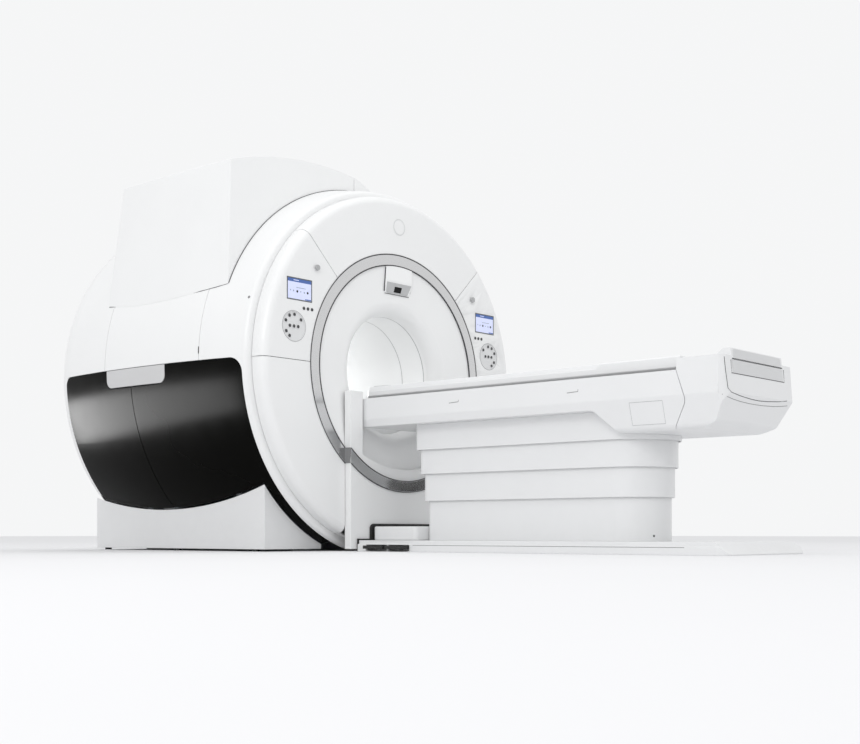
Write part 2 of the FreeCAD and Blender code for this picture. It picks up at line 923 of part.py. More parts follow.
def bright_ring():
    """Satin ring round the tunnel mouth, and the piece of it that steps over the dock fairing."""
    outer = RING_OUTER
    bevel = s.ring_bevel
    gap = s.seat_gap
    edge = s.fairing_half_width + 2 * s.panel_gap
    step = s.fairing_forward + gap

    def ring(name, front, back):
        return turned(name, [
            Corner(front, s.ring_inner + bevel), Corner(front + bevel, s.ring_inner),
            Corner(back, s.ring_inner),
            Corner(back, outer), Corner(front + bevel, outer), Corner(front, outer - bevel),
        ])

    upper = ring("ring_upper_whole", behind(-s.ring_proud), behind(s.ring_depth))
    dock = block(
        "ring_dock_space", (-(s.fairing_half_width + gap), s.fairing_half_width + gap), ALONG,
        (0, s.fairing_height),
    )
    # the ring turns forward along each side of the fairing
    flank_band = turned("ring_flank_band", [
        Corner(ahead(step - gap), s.ring_inner), Corner(behind(s.ring_depth / 2), s.ring_inner),
        Corner(behind(s.ring_depth / 2), outer), Corner(ahead(step - gap), outer),
    ])
    flank_zone = block(
        "ring_flank_zone", (-edge, -(s.fairing_half_width + gap)), ALONG, (0, s.fairing_height)
    )
    flank = shared("ring_flank", flank_band, flank_zone)
    node("mouth_ring_upper", joined(
        "mouth_ring_upper", cut("ring_upper_open", upper, dock), flank, mirrored("ring_flank_right", flank)
    ))
    lower = ring("ring_lower_whole", ahead(step + s.ring_step_depth), ahead(step))
    over = block("ring_over_dock", (-edge, edge), ALONG, (0, s.iso_height - s.ring_inner / 2))
    node("mouth_ring_lower", shared("mouth_ring_lower", lower, over))


def front_covers():
    """Five covers cut from one turned form by the seams that run across the face."""
    wall = s.cover_wall
    ring_edge = RING_OUTER + s.ring_seam
    face = turned("front_face", [
        Corner(behind(0), ring_edge),
        Corner(behind(wall), ring_edge),
        *chords(behind(s.front_round), s.front_radius - s.front_round, s.front_round - wall, 180, 90),
        Corner(behind(s.rim_depth), s.front_radius - wall),
        Corner(behind(s.rim_depth), s.front_radius),
        *chords(
            behind(s.front_round), s.front_radius - s.front_round, s.front_round, 90, 180, s.fine_step.value
        ),
    ])
    half = s.panel_gap / 2
    slant = s.panel_gap * HALF_DIAGONAL
    low, high = ahead(s.fairing_forward), behind(s.rim_depth + CLEAR)
    node("front_cover_top", shared("front_cover_top", face, prism("top_wedge", "front", [
        Corner(0, s.iso_height + slant),
        Corner(FAR, s.iso_height + slant + FAR),
        Corner(-FAR, s.iso_height + slant + FAR),
    ], low, high)))
    seam = s.cover_seam_height + half
    upper = shared("upper_blank", face, prism("side_wedge", "front", [
        Corner(s.iso_height - seam - slant, seam),
        Corner(-FAR, s.iso_height - slant + FAR),
        Corner(-FAR, seam),
    ], low, high))
    fit = s.seat_gap
    display_space = block(
        "display_space",
        (-s.display_x - s.display_wide / 2 - fit, -s.display_x + s.display_wide / 2 + fit), (low, high),
        (s.display_height - s.display_tall / 2 - fit, s.display_height + s.display_tall / 2 + fit),
    )
    dish_space = rod("dish_space", "y", s.dish_radius + fit, (-s.dish_x, low, s.dish_height), high - low)
    stem_space = rod(
        "stem_space", "y", s.button_stem + s.pin_play, (-s.button_x, low, s.button_height), high - low
    )
    key_spaces = [
        rod("key_space", "y", s.key_radius + fit, (-s.key_row_x + across, low, s.key_row_height), high - low)
        for across in key_row()
    ]
    both_sides("front_cover_upper", cut(
        "front_cover_upper", upper, display_space, dish_space, stem_space, *key_spaces
    ))
    lower_zone = block(
        "lower_zone", (-FAR, -(s.fairing_half_width + s.panel_gap)), (low, high),
        (s.floor_gap, s.cover_seam_height - half),
    )
    both_sides("front_cover_lower", shared("front_cover_lower", face, lower_zone))


KEY_ANGLES = (38, 87, 120, 156, 210, 240)  # places of the keys round the dish


def key_row():
    """Places of three keys in a row, from the middle one."""
    return (-s.key_pitch, as_size(0), s.key_pitch)


def displays_and_keys():
    """Status display, key dish with its flat membrane keys, and the stop button that travels."""
    front = ahead(s.screen_proud)
    case = block(
        "display_case",
        (-s.display_x - s.display_wide / 2, -s.display_x + s.display_wide / 2),
        (front, front + s.display_deep),
        (s.display_height - s.display_tall / 2, s.display_height + s.display_tall / 2),
    )
    screen = block(
        "screen_recess",
        (-s.display_x - s.display_wide / 2 + s.bezel, -s.display_x + s.display_wide / 2 - s.bezel),
        (front - CLEAR, front + s.screen_sink),
        (s.display_height - s.display_tall / 2 + s.bezel, s.display_height + s.display_tall / 2 - s.bezel),
    )
    both_sides("display", cut("display", case, screen))

    dish = rod("dish_disc", "y", s.dish_radius, (-s.dish_x, behind(0), s.dish_height), s.dish_deep)
    hollow = rod(
        "dish_hollow", "y", s.dish_radius - s.dish_rim, (-s.dish_x, ahead(CLEAR), s.dish_height),
        s.dish_sink + CLEAR,
    )
    hollowed = cut("dish_hollowed", dish, hollow)
    places = [(across, 0) for across in key_row()]
    for turn in KEY_ANGLES:
        angle = math.radians(turn)
        places.append((s.key_ring * round(math.cos(angle), 4), s.key_ring * round(math.sin(angle), 4)))
    keys = [
        rod(
            "key", "y", s.key_radius, (-s.dish_x + across, behind(s.key_set_back), s.dish_height + up),
            s.dish_deep - 2 * s.key_set_back,
        )
        for across, up in places
    ]
    row_keys = [
        rod(
            "row_key", "y", s.key_radius, (-s.key_row_x + across, ahead(s.screen_proud), s.key_row_height),
            s.dish_deep,
        )
        for across in key_row()
    ]
    group = doc.addObject("Part::Compound", "keys_left")
    group.Links = [joined("key_dish", hollowed, *keys), *row_keys]
    both_sides("key_dish", group)

    start = (-s.button_x, ahead(s.button_travel + s.button_play + s.button_cap), s.button_height)
    cap = rod("button_cap_disc", "y", s.button_radius, start, s.button_cap)
    stem = rod("button_stem_rod", "y", s.button_stem, start, s.button_length)
    both_sides("stop_button", joined("stop_button", cap, stem))


def funnel_space(name):
    """The space behind the funnel's face, which what sits on or beside the funnel keeps clear of."""
    gap = s.seat_gap
    return turned(name, [
        Corner(behind(s.funnel_set_back - gap), s.funnel_radius + gap),
        Corner(behind(s.funnel_set_back + s.funnel_cone - gap), s.bore_radius),
        Corner(0, s.bore_radius),
        Corner(0, s.funnel_radius + gap),
    ])


WINDOW_SHARES = (0.3, 0.72)                # of the hood's slope, where the window starts and ends


def camera_unit():
    """Hood at the top of the funnel with a camera window on its sloping underside."""
    face = ahead(s.hood_proud)
    back = behind(s.hood_back)
    top = s.iso_height + s.funnel_radius
    blank = prism("hood_blank", "side", [
        Corner(face, s.hood_face_low), Corner(back, s.hood_low), Corner(back + s.hood_flat, s.hood_low),
        Corner(back + s.hood_flat, top), Corner(face, top),
    ], -s.hood_half_width, s.hood_half_width)
    inside = rod("hood_limit", "y", s.funnel_radius - s.seat_gap, (0, face, s.iso_height), s.funnel_depth)
    # the window lies in the middle of the slope
    run = back - face
    fall = s.hood_face_low - s.hood_low
    edges = [(face + run * share, s.hood_face_low - fall * share) for share in WINDOW_SHARES]
    (near, near_height), (far, far_height) = edges
    deep, lean = s.window_deep, s.window_lean
    window = prism("window_blank", "side", [
        Corner(near, near_height), Corner(far, far_height),
        Corner(far + deep, far_height + lean), Corner(near + deep, near_height + lean),
    ], -s.window_half_width, s.window_half_width)
    space = funnel_space("hood_funnel_space")
    hood = cut("hood_open", shared("hood_inside", blank, inside), space)
    node("camera_hood", cut("camera_hood", hood, window))
    node("camera_window", cut("camera_window", window, space))


def dock_fairing():
    """Raised lower middle of the front, with the notch for the table's end, and its black seal."""
    wall = s.fairing_wall
    half = s.fairing_half_width
    top = s.fairing_height

    def notch(name, more):
        side = s.recess_half_width + more
        bow = s.recess_bow + more
        rise = root(s.recess_bow * s.recess_bow - s.recess_half_width * s.recess_half_width)
        corner = s.recess_bottom + s.recess_bow - rise - more
        return prism(name, "front", [
            Corner(-side, corner, bow=bow), Corner(side, corner), Corner(side, HIGH), Corner(-side, HIGH),
        ], *ALONG)

    face = ahead(s.fairing_forward)
    blank = block("fairing_blank", (-half, half), (face, behind(wall)), (s.floor_gap, top))
    outer = cut("fairing_outer", blank, notch("dock_notch", as_size(0)))
    core = block(
        "fairing_core", (-(half - wall), half - wall), (face + wall, behind(wall + CLEAR)),
        (s.floor_gap + wall, top - wall),
    )
    inner = cut("fairing_inner", core, notch("dock_notch_lining", wall))
    back = block("fairing_back", ALONG, (behind(s.cover_wall), FAR), (0, HIGH))
    node("dock_fairing", cut("dock_fairing", outer, inner, back, funnel_space("fairing_funnel_space")))

    seat = ahead(s.fairing_forward + s.seat_gap)
    seal_half, foot = s.seal_half_width, s.seal_foot_half_width
    node("dock_seal", prism("dock_seal", "front", [
        Corner(-foot, 0), Corner(foot, 0), Corner(foot, s.seal_foot_top),
        Corner(seal_half, s.seal_foot_top),
        Corner(seal_half, s.seal_top, s.bridge_round), Corner(-seal_half, s.seal_top, s.bridge_round),
        Corner(-seal_half, s.seal_foot_top), Corner(-foot, s.seal_foot_top),
    ], seat - s.seal_depth, seat))


# ---------------------------------------------------------------- barrel covers

def front_shell():
    """Arch behind the front covers: a lip that carries their rims and a bead down to the floor."""
    start = s.shell_start
    lip_out = s.front_radius - s.cover_wall - s.seat_gap
    lip_in = lip_out - s.lip_wall
    short = s.shoulder_end / 20
    slope = (barrel(s.shoulder_end) - barrel(s.shoulder_end - short)) / short
    line = barrel(s.shoulder_end) - slope * (s.shoulder_end - start)
    turn = s.shoulder_round
    lean = math.degrees(math.atan(slope.value))
    shoulder = chords(
        behind(start + turn), line + slope * turn - turn * root(1 + slope * slope), turn, 90 + lean, 180
    )
    wall = s.barrel_wall
    end = s.front_shell_end - s.panel_gap / 2
    ring = turned("front_shell_ring", [
        Corner(behind(start - s.lip_reach), lip_in),
        Corner(behind(start + s.lip_wall), lip_in),
        Corner(behind(start + s.lip_wall), line - s.shoulder_wall),
        *lining(s.shoulder_end, end, wall),
        Corner(behind(end), barrel(end), bow=s.barrel_bow),
        Corner(behind(s.shoulder_end), barrel(s.shoulder_end)),
        *shoulder,
        Corner(behind(start), lip_out),
        Corner(behind(start - s.lip_reach), lip_out),
    ])
    bead = behind(start + s.bead_width)
    seam = s.cover_seam_height
    zone = prism("front_shell_zone", "side", [
        Corner(behind(0), s.floor_gap),
        Corner(bead, s.floor_gap),
        Corner(bead, seam, s.black_corner),
        Corner(behind(end + CLEAR), seam),
        Corner(behind(end + CLEAR), HIGH),
        Corner(behind(0), HIGH),
    ], *ALONG)
    node("front_shell", shared("front_shell", ring, zone))


def side_covers():
    """White upper shells, black lower panels and grey tabs, all cut from the same crowned band."""
    gap = s.panel_gap
    half = gap / 2
    start = s.shell_start + s.bead_width + half
    band = skin("skin_band", start - CLEAR, s.black_rear + CLEAR)
    seam = s.cover_seam_height
    upper = prism("upper_shell_zone", "side", [
        Corner(behind(s.front_shell_end + half), seam), Corner(behind(s.side_shell_end - half), seam),
        Corner(behind(s.side_shell_end - half), HIGH), Corner(behind(s.front_shell_end + half), HIGH),
    ], *ALONG)
    shell = shared("upper_shell_whole", band, upper)
    port = rod(
        "cold_head_port", "z", s.turret_radius + s.port_clearance,
        (s.turret_x, behind(s.turret_y), s.iso_height), FAR,
    )
    node("upper_shell", cut("upper_shell", shell, port))

    plinth_space = block(
        "plinth_space", (-(s.plinth_half_width + gap), s.plinth_half_width + gap),
        (behind(s.plinth_start - gap), behind(s.plinth_end + gap)), (0, s.iso_height),
    )
    top = seam - gap
    notch = s.cover_seam_height - s.tab_height
    corner = s.tab_corner
    front_zone = prism("black_front_zone", "side", [
        Corner(behind(start), s.floor_gap),
        Corner(behind(s.black_split - half), s.floor_gap),
        Corner(behind(s.black_split - half), notch - gap),
        Corner(behind(s.tab_start - gap), notch - gap, corner + gap),
        Corner(behind(s.tab_start - gap), top),
        Corner(behind(start), top, s.black_corner),
    ], -FAR, -(s.fairing_half_width + gap))
    both_sides("black_panel_front", cut(
        "black_panel_front", shared("black_front_whole", band, front_zone), plinth_space
    ))
    rear_zone = prism("black_rear_zone", "side", [
        Corner(behind(s.black_split + half), s.floor_gap),
        Corner(behind(s.black_rear), s.floor_gap),
        Corner(behind(s.black_rear), top, s.black_rear_corner),
        Corner(behind(s.tab_end + gap), top),
        Corner(behind(s.tab_end + gap), notch - gap, corner + gap),
        Corner(behind(s.black_split + half), notch - gap),
    ], -FAR, -(s.fairing_half_width + gap))
    both_sides("black_panel_rear", cut(
        "black_panel_rear", shared("black_rear_whole", band, rear_zone), plinth_space
    ))
    tab_zone = prism("tab_zone", "side", [
        Corner(behind(s.tab_start), notch, corner), Corner(behind(s.tab_end), notch, corner),
        Corner(behind(s.tab_end), top), Corner(behind(s.tab_start), top),
    ], -FAR, -(s.fairing_half_width + gap))
    both_sides("latch_tab", shared("latch_tab", band, tab_zone))


def rear_covers():
    """Rear shell that rolls in to the rear cover, the cover, and the funnel at the bore's far end."""
    wall = s.barrel_wall
    tail = s.barrel_tail
    depth = s.magnet_depth
    start = s.side_shell_end + s.panel_gap / 2
    edge = barrel(tail) - s.tail_drop
    cover_out = s.rear_radius
    lip_face = depth - s.cover_wall - s.seat_gap
    ring = turned("rear_shell_ring", [
        *lining(start, tail, wall),
        *chords(behind(depth - s.tail_round), edge - s.tail_round, s.tail_round - wall, 90, 0),
        Corner(behind(depth - wall), cover_out + s.panel_gap + s.rear_lip_step),
        Corner(behind(lip_face - wall), cover_out + s.panel_gap + s.rear_lip_step),
        Corner(behind(lip_face - wall), cover_out - s.rear_lip_reach),
        Corner(behind(lip_face), cover_out - s.rear_lip_reach),
        Corner(behind(lip_face), cover_out + s.panel_gap),
        Corner(behind(depth), cover_out + s.panel_gap),
        *chords(
            behind(depth - s.tail_round), edge - s.tail_round, s.tail_round, 0, 90, s.fine_step.value
        ),
        Corner(behind(tail), barrel(tail), bow=s.barrel_bow),
        Corner(behind(start), barrel(start)),
    ])
    seam = s.cover_seam_height
    bead = behind(s.black_rear + s.panel_gap)
    zone = prism("rear_shell_zone", "side", [
        Corner(bead, s.floor_gap),
        Corner(behind(depth + CLEAR), s.floor_gap),
        Corner(behind(depth + CLEAR), HIGH),
        Corner(behind(start), HIGH),
        Corner(behind(start), seam),
        Corner(bead, seam, s.black_rear_corner),
    ], *ALONG)
    plinth_space = block(
        "plinth_space_rear", (-(s.plinth_half_width + s.panel_gap), s.plinth_half_width + s.panel_gap),
        (behind(s.plinth_start), behind(s.plinth_end + s.panel_gap)), (0, s.iso_height / 2 + CLEAR),
    )
    node("rear_shell", cut("rear_shell", shared("rear_shell_whole", ring, zone), plinth_space))

    cover = turned("rear_cover_disc", [
        Corner(behind(depth - s.cover_wall), s.rear_funnel_radius + s.panel_gap),
        Corner(behind(depth), s.rear_funnel_radius + s.panel_gap),
        Corner(behind(depth), cover_out),
        Corner(behind(depth - s.cover_wall), cover_out),
    ])
    above_floor = block("rear_above_floor", ALONG, ALONG, (s.floor_gap, HIGH))
    node("rear_cover", shared("rear_cover", cover, above_floor))

    lip = s.rear_funnel_lip
    begin = s.rear_funnel_start
    depth_of_cone = s.rear_funnel_cone
    thick = s.cover_wall
    rise = s.rear_funnel_radius - s.bore_radius
    slant = root(rise * rise + depth_of_cone * depth_of_cone)
    lean = math.degrees(math.atan2(depth_of_cone.value, rise.value))
    centre_y = behind(depth - depth_of_cone) - (lip * slant - lip * depth_of_cone) / rise
    back_turn = chords(centre_y, s.bore_radius + lip, lip - thick, 360 - lean, 270)
    node("rear_funnel", turned("rear_funnel", [
        Corner(behind(begin), s.bore_radius),
        *chords(centre_y, s.bore_radius + lip, lip, 270, 360 - lean, s.fine_step.value),
        Corner(behind(depth), s.rear_funnel_radius),
        Corner(behind(depth - thick - s.seat_gap), s.rear_funnel_radius),
        Corner(behind(depth - thick - s.seat_gap), s.rear_funnel_radius + s.rear_flange),
        Corner(behind(depth - 2 * thick), s.rear_funnel_radius + s.rear_flange),
        *back_turn,
        Corner(behind(begin), s.bore_radius + thick),
    ]))


FOOT_SHARES = (0.06, 0.5, 0.94)            # places of the levelling feet along the plinth


def plinth():
    """Skirts that close the space between the barrel and the floor, on levelling feet."""
    wall = s.barrel_wall
    half = s.plinth_half_width
    outer = block(
        "plinth_outer", (-half, -(half - s.plinth_return)), (behind(s.plinth_start), behind(s.plinth_end)),
        (s.floor_gap, s.iso_height / 2),
    )
    inner = block(
        "plinth_inner", (-(half - wall), 0), (behind(s.plinth_start + wall), behind(s.plinth_end - wall)),
        (0, s.iso_height),
    )
    first, last = s.plinth_start - CLEAR, s.plinth_end + CLEAR
    space = turned("barrel_space", [
        Corner(behind(first), 0),
        Corner(behind(last), 0),
        Corner(behind(last), barrel(last, -s.panel_gap), bow=s.barrel_bow + s.panel_gap),
        Corner(behind(first), barrel(first, -s.panel_gap)),
    ])
    both_sides("plinth", cut("plinth", outer, inner, space))
    feet = []
    for place in FOOT_SHARES:
        distance = s.plinth_start + (s.plinth_end - s.plinth_start) * place
        foot = rod(
            "foot", "z", s.foot_radius, (-(half - s.foot_radius), behind(distance), 0), s.floor_gap
        )
        feet += [foot, mirrored("foot_right", foot)]
    group = doc.addObject("Part::Compound", "levelling_feet")
    group.Links = feet
    node("levelling_feet", group)


def top_housing():
    """Arched housing over the cold head: a hollow lofted box under an arch, standing on the barrel."""
    crest = TOP + s.housing_rise
    high = crest + s.housing_level_gap
    low = high - s.housing_levels
    left_end = -s.housing_arch_end

    def housing_solid(name, inset):
        def outline(level, left, left_rear, rear, bow):
            return free_sketch("%s_plan" % name, "plan", [
                Corner(s.housing_end + CLEAR, behind(s.housing_front + inset)),
                Corner(s.housing_end + CLEAR, behind(rear - inset)),
                Corner(-(left_rear - inset), behind(rear - inset), bow=bow),
                Corner(-(left - inset), behind(s.housing_front + inset)),
            ], level)

        loft = doc.addObject("Part::Loft", name + "_loft")
        loft.Sections = [
            outline(
                low, s.housing_left_low, s.housing_left_rear_low, s.housing_rear_low,
                s.housing_side_bow_low,
            ),
            outline(
                high, s.housing_left_high, s.housing_left_rear_high, s.housing_rear_high,
                s.housing_side_bow_high,
            ),
        ]
        loft.Solid = True
        loft.Ruled = True

        def arch_height(x):
            reach = x - s.housing_crest_x
            bow = s.housing_bow - inset
            return crest - s.housing_bow + root(bow * bow - reach * reach)

        split = s.housing_split
        end = s.housing_end - inset
        arch = prism(name + "_arch", "front", [
            Corner(left_end, low),
            Corner(end, low),
            Corner(end, arch_height(split) - s.housing_end_drop, bow=s.housing_end_bow),
            Corner(split, arch_height(split), bow=s.housing_bow - inset),
            Corner(left_end, arch_height(left_end)),
        ], behind(0), behind(s.magnet_depth))
        return shared(name, loft, arch)

    outer = housing_solid("housing_outer", as_size(0))
    inner = housing_solid("housing_inner", s.barrel_wall)
    first, last = s.housing_front - CLEAR, s.housing_rear_low + CLEAR
    seat = turned("housing_seat", [
        Corner(behind(first), 0),
        Corner(behind(last), 0),
        Corner(behind(last), barrel(last, -s.seat_gap), bow=s.barrel_bow + s.seat_gap),
        Corner(behind(first), barrel(first, -s.seat_gap)),
    ])
    walls = cut("housing_walls", outer, inner, seat)
    half = s.panel_gap / 2
    reach = (behind(0), behind(s.magnet_depth))
    main_zone = block("housing_main_zone", (-FAR, s.housing_split - half), reach, (low, high))
    end_zone = block("housing_end_zone", (s.housing_split + half, FAR), reach, (low, high))
    node("top_housing", shared("top_housing", walls, main_zone))
    node("top_housing_end", shared("top_housing_end", walls, end_zone))


# ---------------------------------------------------------------- table top

def table_solid(name, inset):
    """The table's whole outer form, or the same form taken in by a wall, as three outlines in common."""
    crease = s.table_crease_half_width - inset
    foot = s.table_foot_half_width - inset
    hollow = inset.value > 0
    top = s.cap_top + s.table_section_spare
    section = prism(name + "_section", "front", [
        Corner(-foot, s.pod_bottom + inset, s.pod_round),
        Corner(foot, s.pod_bottom + inset, s.pod_round),
        Corner(crease, s.table_crease_height, s.crease_round),
        Corner(s.table_half_width - inset, top),
        Corner(-(s.table_half_width - inset), top),
        Corner(-crease, s.table_crease_height, s.crease_round),
    ], ahead(CAP_END + CLEAR), ahead(0))
    end_low = CAP_END - inset
    end_high = CAP_TOP_END - inset
    step = CAP_START + inset + s.panel_gap
    upper = [
        Corner(ahead(s.table_dock_end + inset), top if hollow else s.side_cover_top),
    ]
    if hollow:
        upper += [
            Corner(ahead(CAP_START - inset), top),
            Corner(ahead(CAP_START - inset), s.side_cover_top - inset),
            Corner(ahead(step), s.side_cover_top - inset),
            Corner(ahead(step), s.cap_top - inset),
        ]
    else:
        upper += [
            Corner(ahead(CAP_START), s.side_cover_top),
            Corner(ahead(CAP_START), s.cap_top),
        ]
    # how far the wall shifts the ends of the sloping floor of the pod
    slope_shift = inset * s.pod_slope_share
    profile = prism(name + "_profile", "side", [
        Corner(ahead(CAP_END - s.nose_foot), s.pod_bottom + inset, s.pod_round),
        Corner(ahead(s.pod_slope_end - slope_shift), s.pod_bottom + inset, s.slope_round),
        Corner(ahead(s.pod_slope_start - slope_shift), s.beam_bottom + inset, s.slope_round),
        Corner(ahead(s.table_dock_end + inset), s.beam_bottom + inset),
        *upper,
        Corner(ahead(end_high), s.cap_top - inset),
        Corner(ahead(end_low), s.cap_nose_height, s.nose_round),
        Corner(ahead(end_low - s.nose_back), s.pod_bottom + s.nose_rise + inset, s.pod_round),
    ], *ALONG)
    side = s.table_half_width + s.cap_plan_spare - inset
    plan = prism(name + "_plan", "plan", [
        Corner(-side, ahead(end_low + s.seat_gap), s.cap_plan_round),
        Corner(side, ahead(end_low + s.seat_gap), s.cap_plan_round),
        Corner(side, ahead(0)),
        Corner(-side, ahead(0)),
    ], s.pod_bottom - CLEAR, top)
    return shared(name, section, profile, plan)


def column_outline(half_width, near):
    """Plan of a column band: square end at the magnet, round end at the foot."""
    far = ahead(s.column_far)
    return [
        Corner(0, ahead(s.column_far + half_width), bow=half_width),
        Corner(half_width, far),
        Corner(half_width, ahead(near), s.column_corner),
        Corner(-half_width, ahead(near), s.column_corner),
        Corner(-half_width, far, bow=half_width),
    ]


def table_covers():
    """Side covers and foot end cap, cut from one hollow form, with the well that the column rises into."""
    outer = table_solid("table_outer", as_size(0))
    inner = table_solid("table_inner", s.table_wall)
    wall = s.column_wall
    well = prism(
        "column_well", "plan", column_outline(s.column_half_width - wall, s.column_near + wall),
        s.pod_bottom - CLEAR, s.beam_bottom - s.well_roof,
    )
    ram_space = s.ram_half_width + s.ram_clearance
    ram_hole = block(
        "ram_hole", (-ram_space, ram_space), (ahead(s.mast_y + ram_space), ahead(s.mast_y - ram_space)),
        (s.pod_bottom, s.beam_bottom + s.table_wall + CLEAR),
    )
    half = s.panel_gap / 2
    low, high = s.pod_bottom - CLEAR, s.cap_top + CLEAR
    # the seam bends back at the crease of the side covers
    seam_foot = CAP_START - s.seam_back
    bend = (
        (CAP_START, s.side_cover_top, None),
        (CAP_START + s.seam_out, s.table_crease_height - s.seam_drop, s.slope_round),
        (seam_foot, s.pod_bottom, None),
    )

    def seam(shift):
        return [Corner(ahead(along + shift), height, turn) for along, height, turn in bend]

    shell = cut("table_shell", outer, inner, well, ram_hole)
    side_zone = prism("side_cover_zone", "side", [
        *seam(-half),
        Corner(ahead(seam_foot), low),
        Corner(ahead(0), low),
        Corner(ahead(0), high),
        Corner(ahead(CAP_START - half), high),
    ], -FAR, -s.seat_gap)
    both_sides("table_cover", shared("table_cover", shell, side_zone))

    cap_zone = prism("cap_zone", "side", [
        *reversed(seam(half)),
        Corner(ahead(CAP_START + half), high),
        Corner(ahead(CAP_END + CLEAR), high),
        Corner(ahead(CAP_END + CLEAR), low),
        Corner(ahead(seam_foot + half), low),
    ], *ALONG)
    cap = shared("cap_blank", shell, cap_zone)
    # the hump rises from the cap in a slope, and rolls over at the end
    hump_foot = CAP_TOP_END - s.hump_length
    hump_low = s.cap_top - s.hump_wall
    hump = prism("cap_hump", "side", [
        Corner(ahead(CAP_TOP_END), hump_low),
        Corner(ahead(hump_foot), hump_low),
        Corner(ahead(hump_foot), s.cap_top + s.hump_step),
        Corner(ahead(CAP_TOP_END - s.hump_length / 2), s.hump_top, s.hump_round),
        Corner(ahead(CAP_TOP_END - s.hump_end_round), s.hump_top, s.hump_end_round),
    ], -s.hump_half_width, s.hump_half_width)
    block_half = s.handle_half_width + s.handle_cheek
    backing = block(
        "handle_backing", (-block_half, block_half),
        (ahead(CAP_TOP_END), ahead(CAP_TOP_END - s.handle_backing)),
        (s.handle_low - s.handle_cheek, s.cap_top - CLEAR),
    )
    pocket_half = s.handle_half_width + s.handle_gap
    pocket = block(
        "handle_pocket", (-pocket_half, pocket_half),
        (ahead(CAP_END + CLEAR), ahead(CAP_TOP_END - s.handle_pocket)),
        (s.handle_low - s.handle_gap, s.handle_high + 2 * s.handle_gap),
    )
    pin_half = block_half - s.handle_pin_wall
    bearing = rod(
        "handle_bearing", "x", s.handle_pin + s.pin_play,
        (-pin_half, handle_axis_y(), s.handle_axis_height), pin_half * 2,
    )
    solid = joined("cap_solid", cap, shared("cap_backing", backing, outer), hump)
    node("table_end_cap", cut("table_end_cap", solid, pocket, bearing))


def handle_axis_y():
    return ahead(CAP_TOP_END - s.handle_axis_depth)


def end_handle():
    """Grey flap in the foot end with its two hinge pins."""
    def face(height):
        fall = (s.cap_top - height) / (s.cap_top - s.cap_nose_height)
        return CAP_TOP_END + fall * s.cap_lean + s.handle_proud

    thick = s.handle_thick
    panel = prism("handle_panel", "side", [
        Corner(ahead(face(s.handle_low)), s.handle_low),
        Corner(ahead(face(s.handle_low) - thick), s.handle_low),
        Corner(ahead(face(s.handle_high) - thick), s.handle_high),
        Corner(ahead(face(s.handle_high)), s.handle_high),
    ], -s.handle_half_width, s.handle_half_width)
    reach = s.handle_half_width + s.handle_pin_reach
    start = (-reach, handle_axis_y(), s.handle_axis_height)
    pin = rod("handle_pin_rod", "x", s.handle_pin, start, reach * 2)
    node("end_handle", joined("end_handle", panel, pin))


def cradle():
    """Board that the patient lies on: dished top, side rebate for straps, rounded nose."""
    half = s.cradle_half_width
    flat = half - s.cradle_rim
    near, far = ahead(s.cradle_start), ahead(s.cradle_start + s.cradle_length)
    low, high = s.cradle_bottom, s.cradle_top
    edge = s.cradle_edge
    board = prism("cradle_board", "front", [
        Corner(-half + edge, low),
        Corner(half - edge, low),
        Corner(half, low + edge),
        Corner(half, high, s.cradle_round),
        Corner(flat, high, bow=-s.cradle_dish_bow),
        Corner(-flat, high),
        Corner(-half, high, s.cradle_round),
        Corner(-half, low + edge),
    ], far, near)
    plan = prism("cradle_plan", "plan", [
        Corner(-half, far), Corner(half, far),
        Corner(half, near, s.cradle_nose), Corner(-half, near, s.cradle_nose),
    ], low - CLEAR, high + CLEAR)
    rebate = prism("cradle_rebate", "side", [
        Corner(ahead(s.rebate_end - s.rebate_slope), s.rebate_height), Corner(near + CLEAR, s.rebate_height),
        Corner(near + CLEAR, high + CLEAR), Corner(ahead(s.rebate_end), high + CLEAR),
    ], -half - CLEAR, -half + s.rebate_width)
    solid = cut(
        "cradle_solid", shared("cradle_blank", board, plan), rebate, mirrored("cradle_rebate_right", rebate)
    )
    node("cradle", solid)

    half_long = s.port_length / 2
    half_wide = s.port_width / 2
    x, y = -s.port_x, ahead(s.port_y)
    oval = prism("port_oval", "plan", [
        Corner(x + half_wide * across, y + half_long * along, s.port_round)
        for across, along in ((-1, -1), (1, -1), (1, 1), (-1, 1))
    ], s.rebate_height, s.port_top)
    node("port_cover", cut("port_cover", oval, solid))


CROSS_SHARES = (0.04, 0.35, 0.72, 0.96)    # places along the chassis, from its foot end
OUTRIGGER_SHARES = (0.03, 0.16, 0.9)


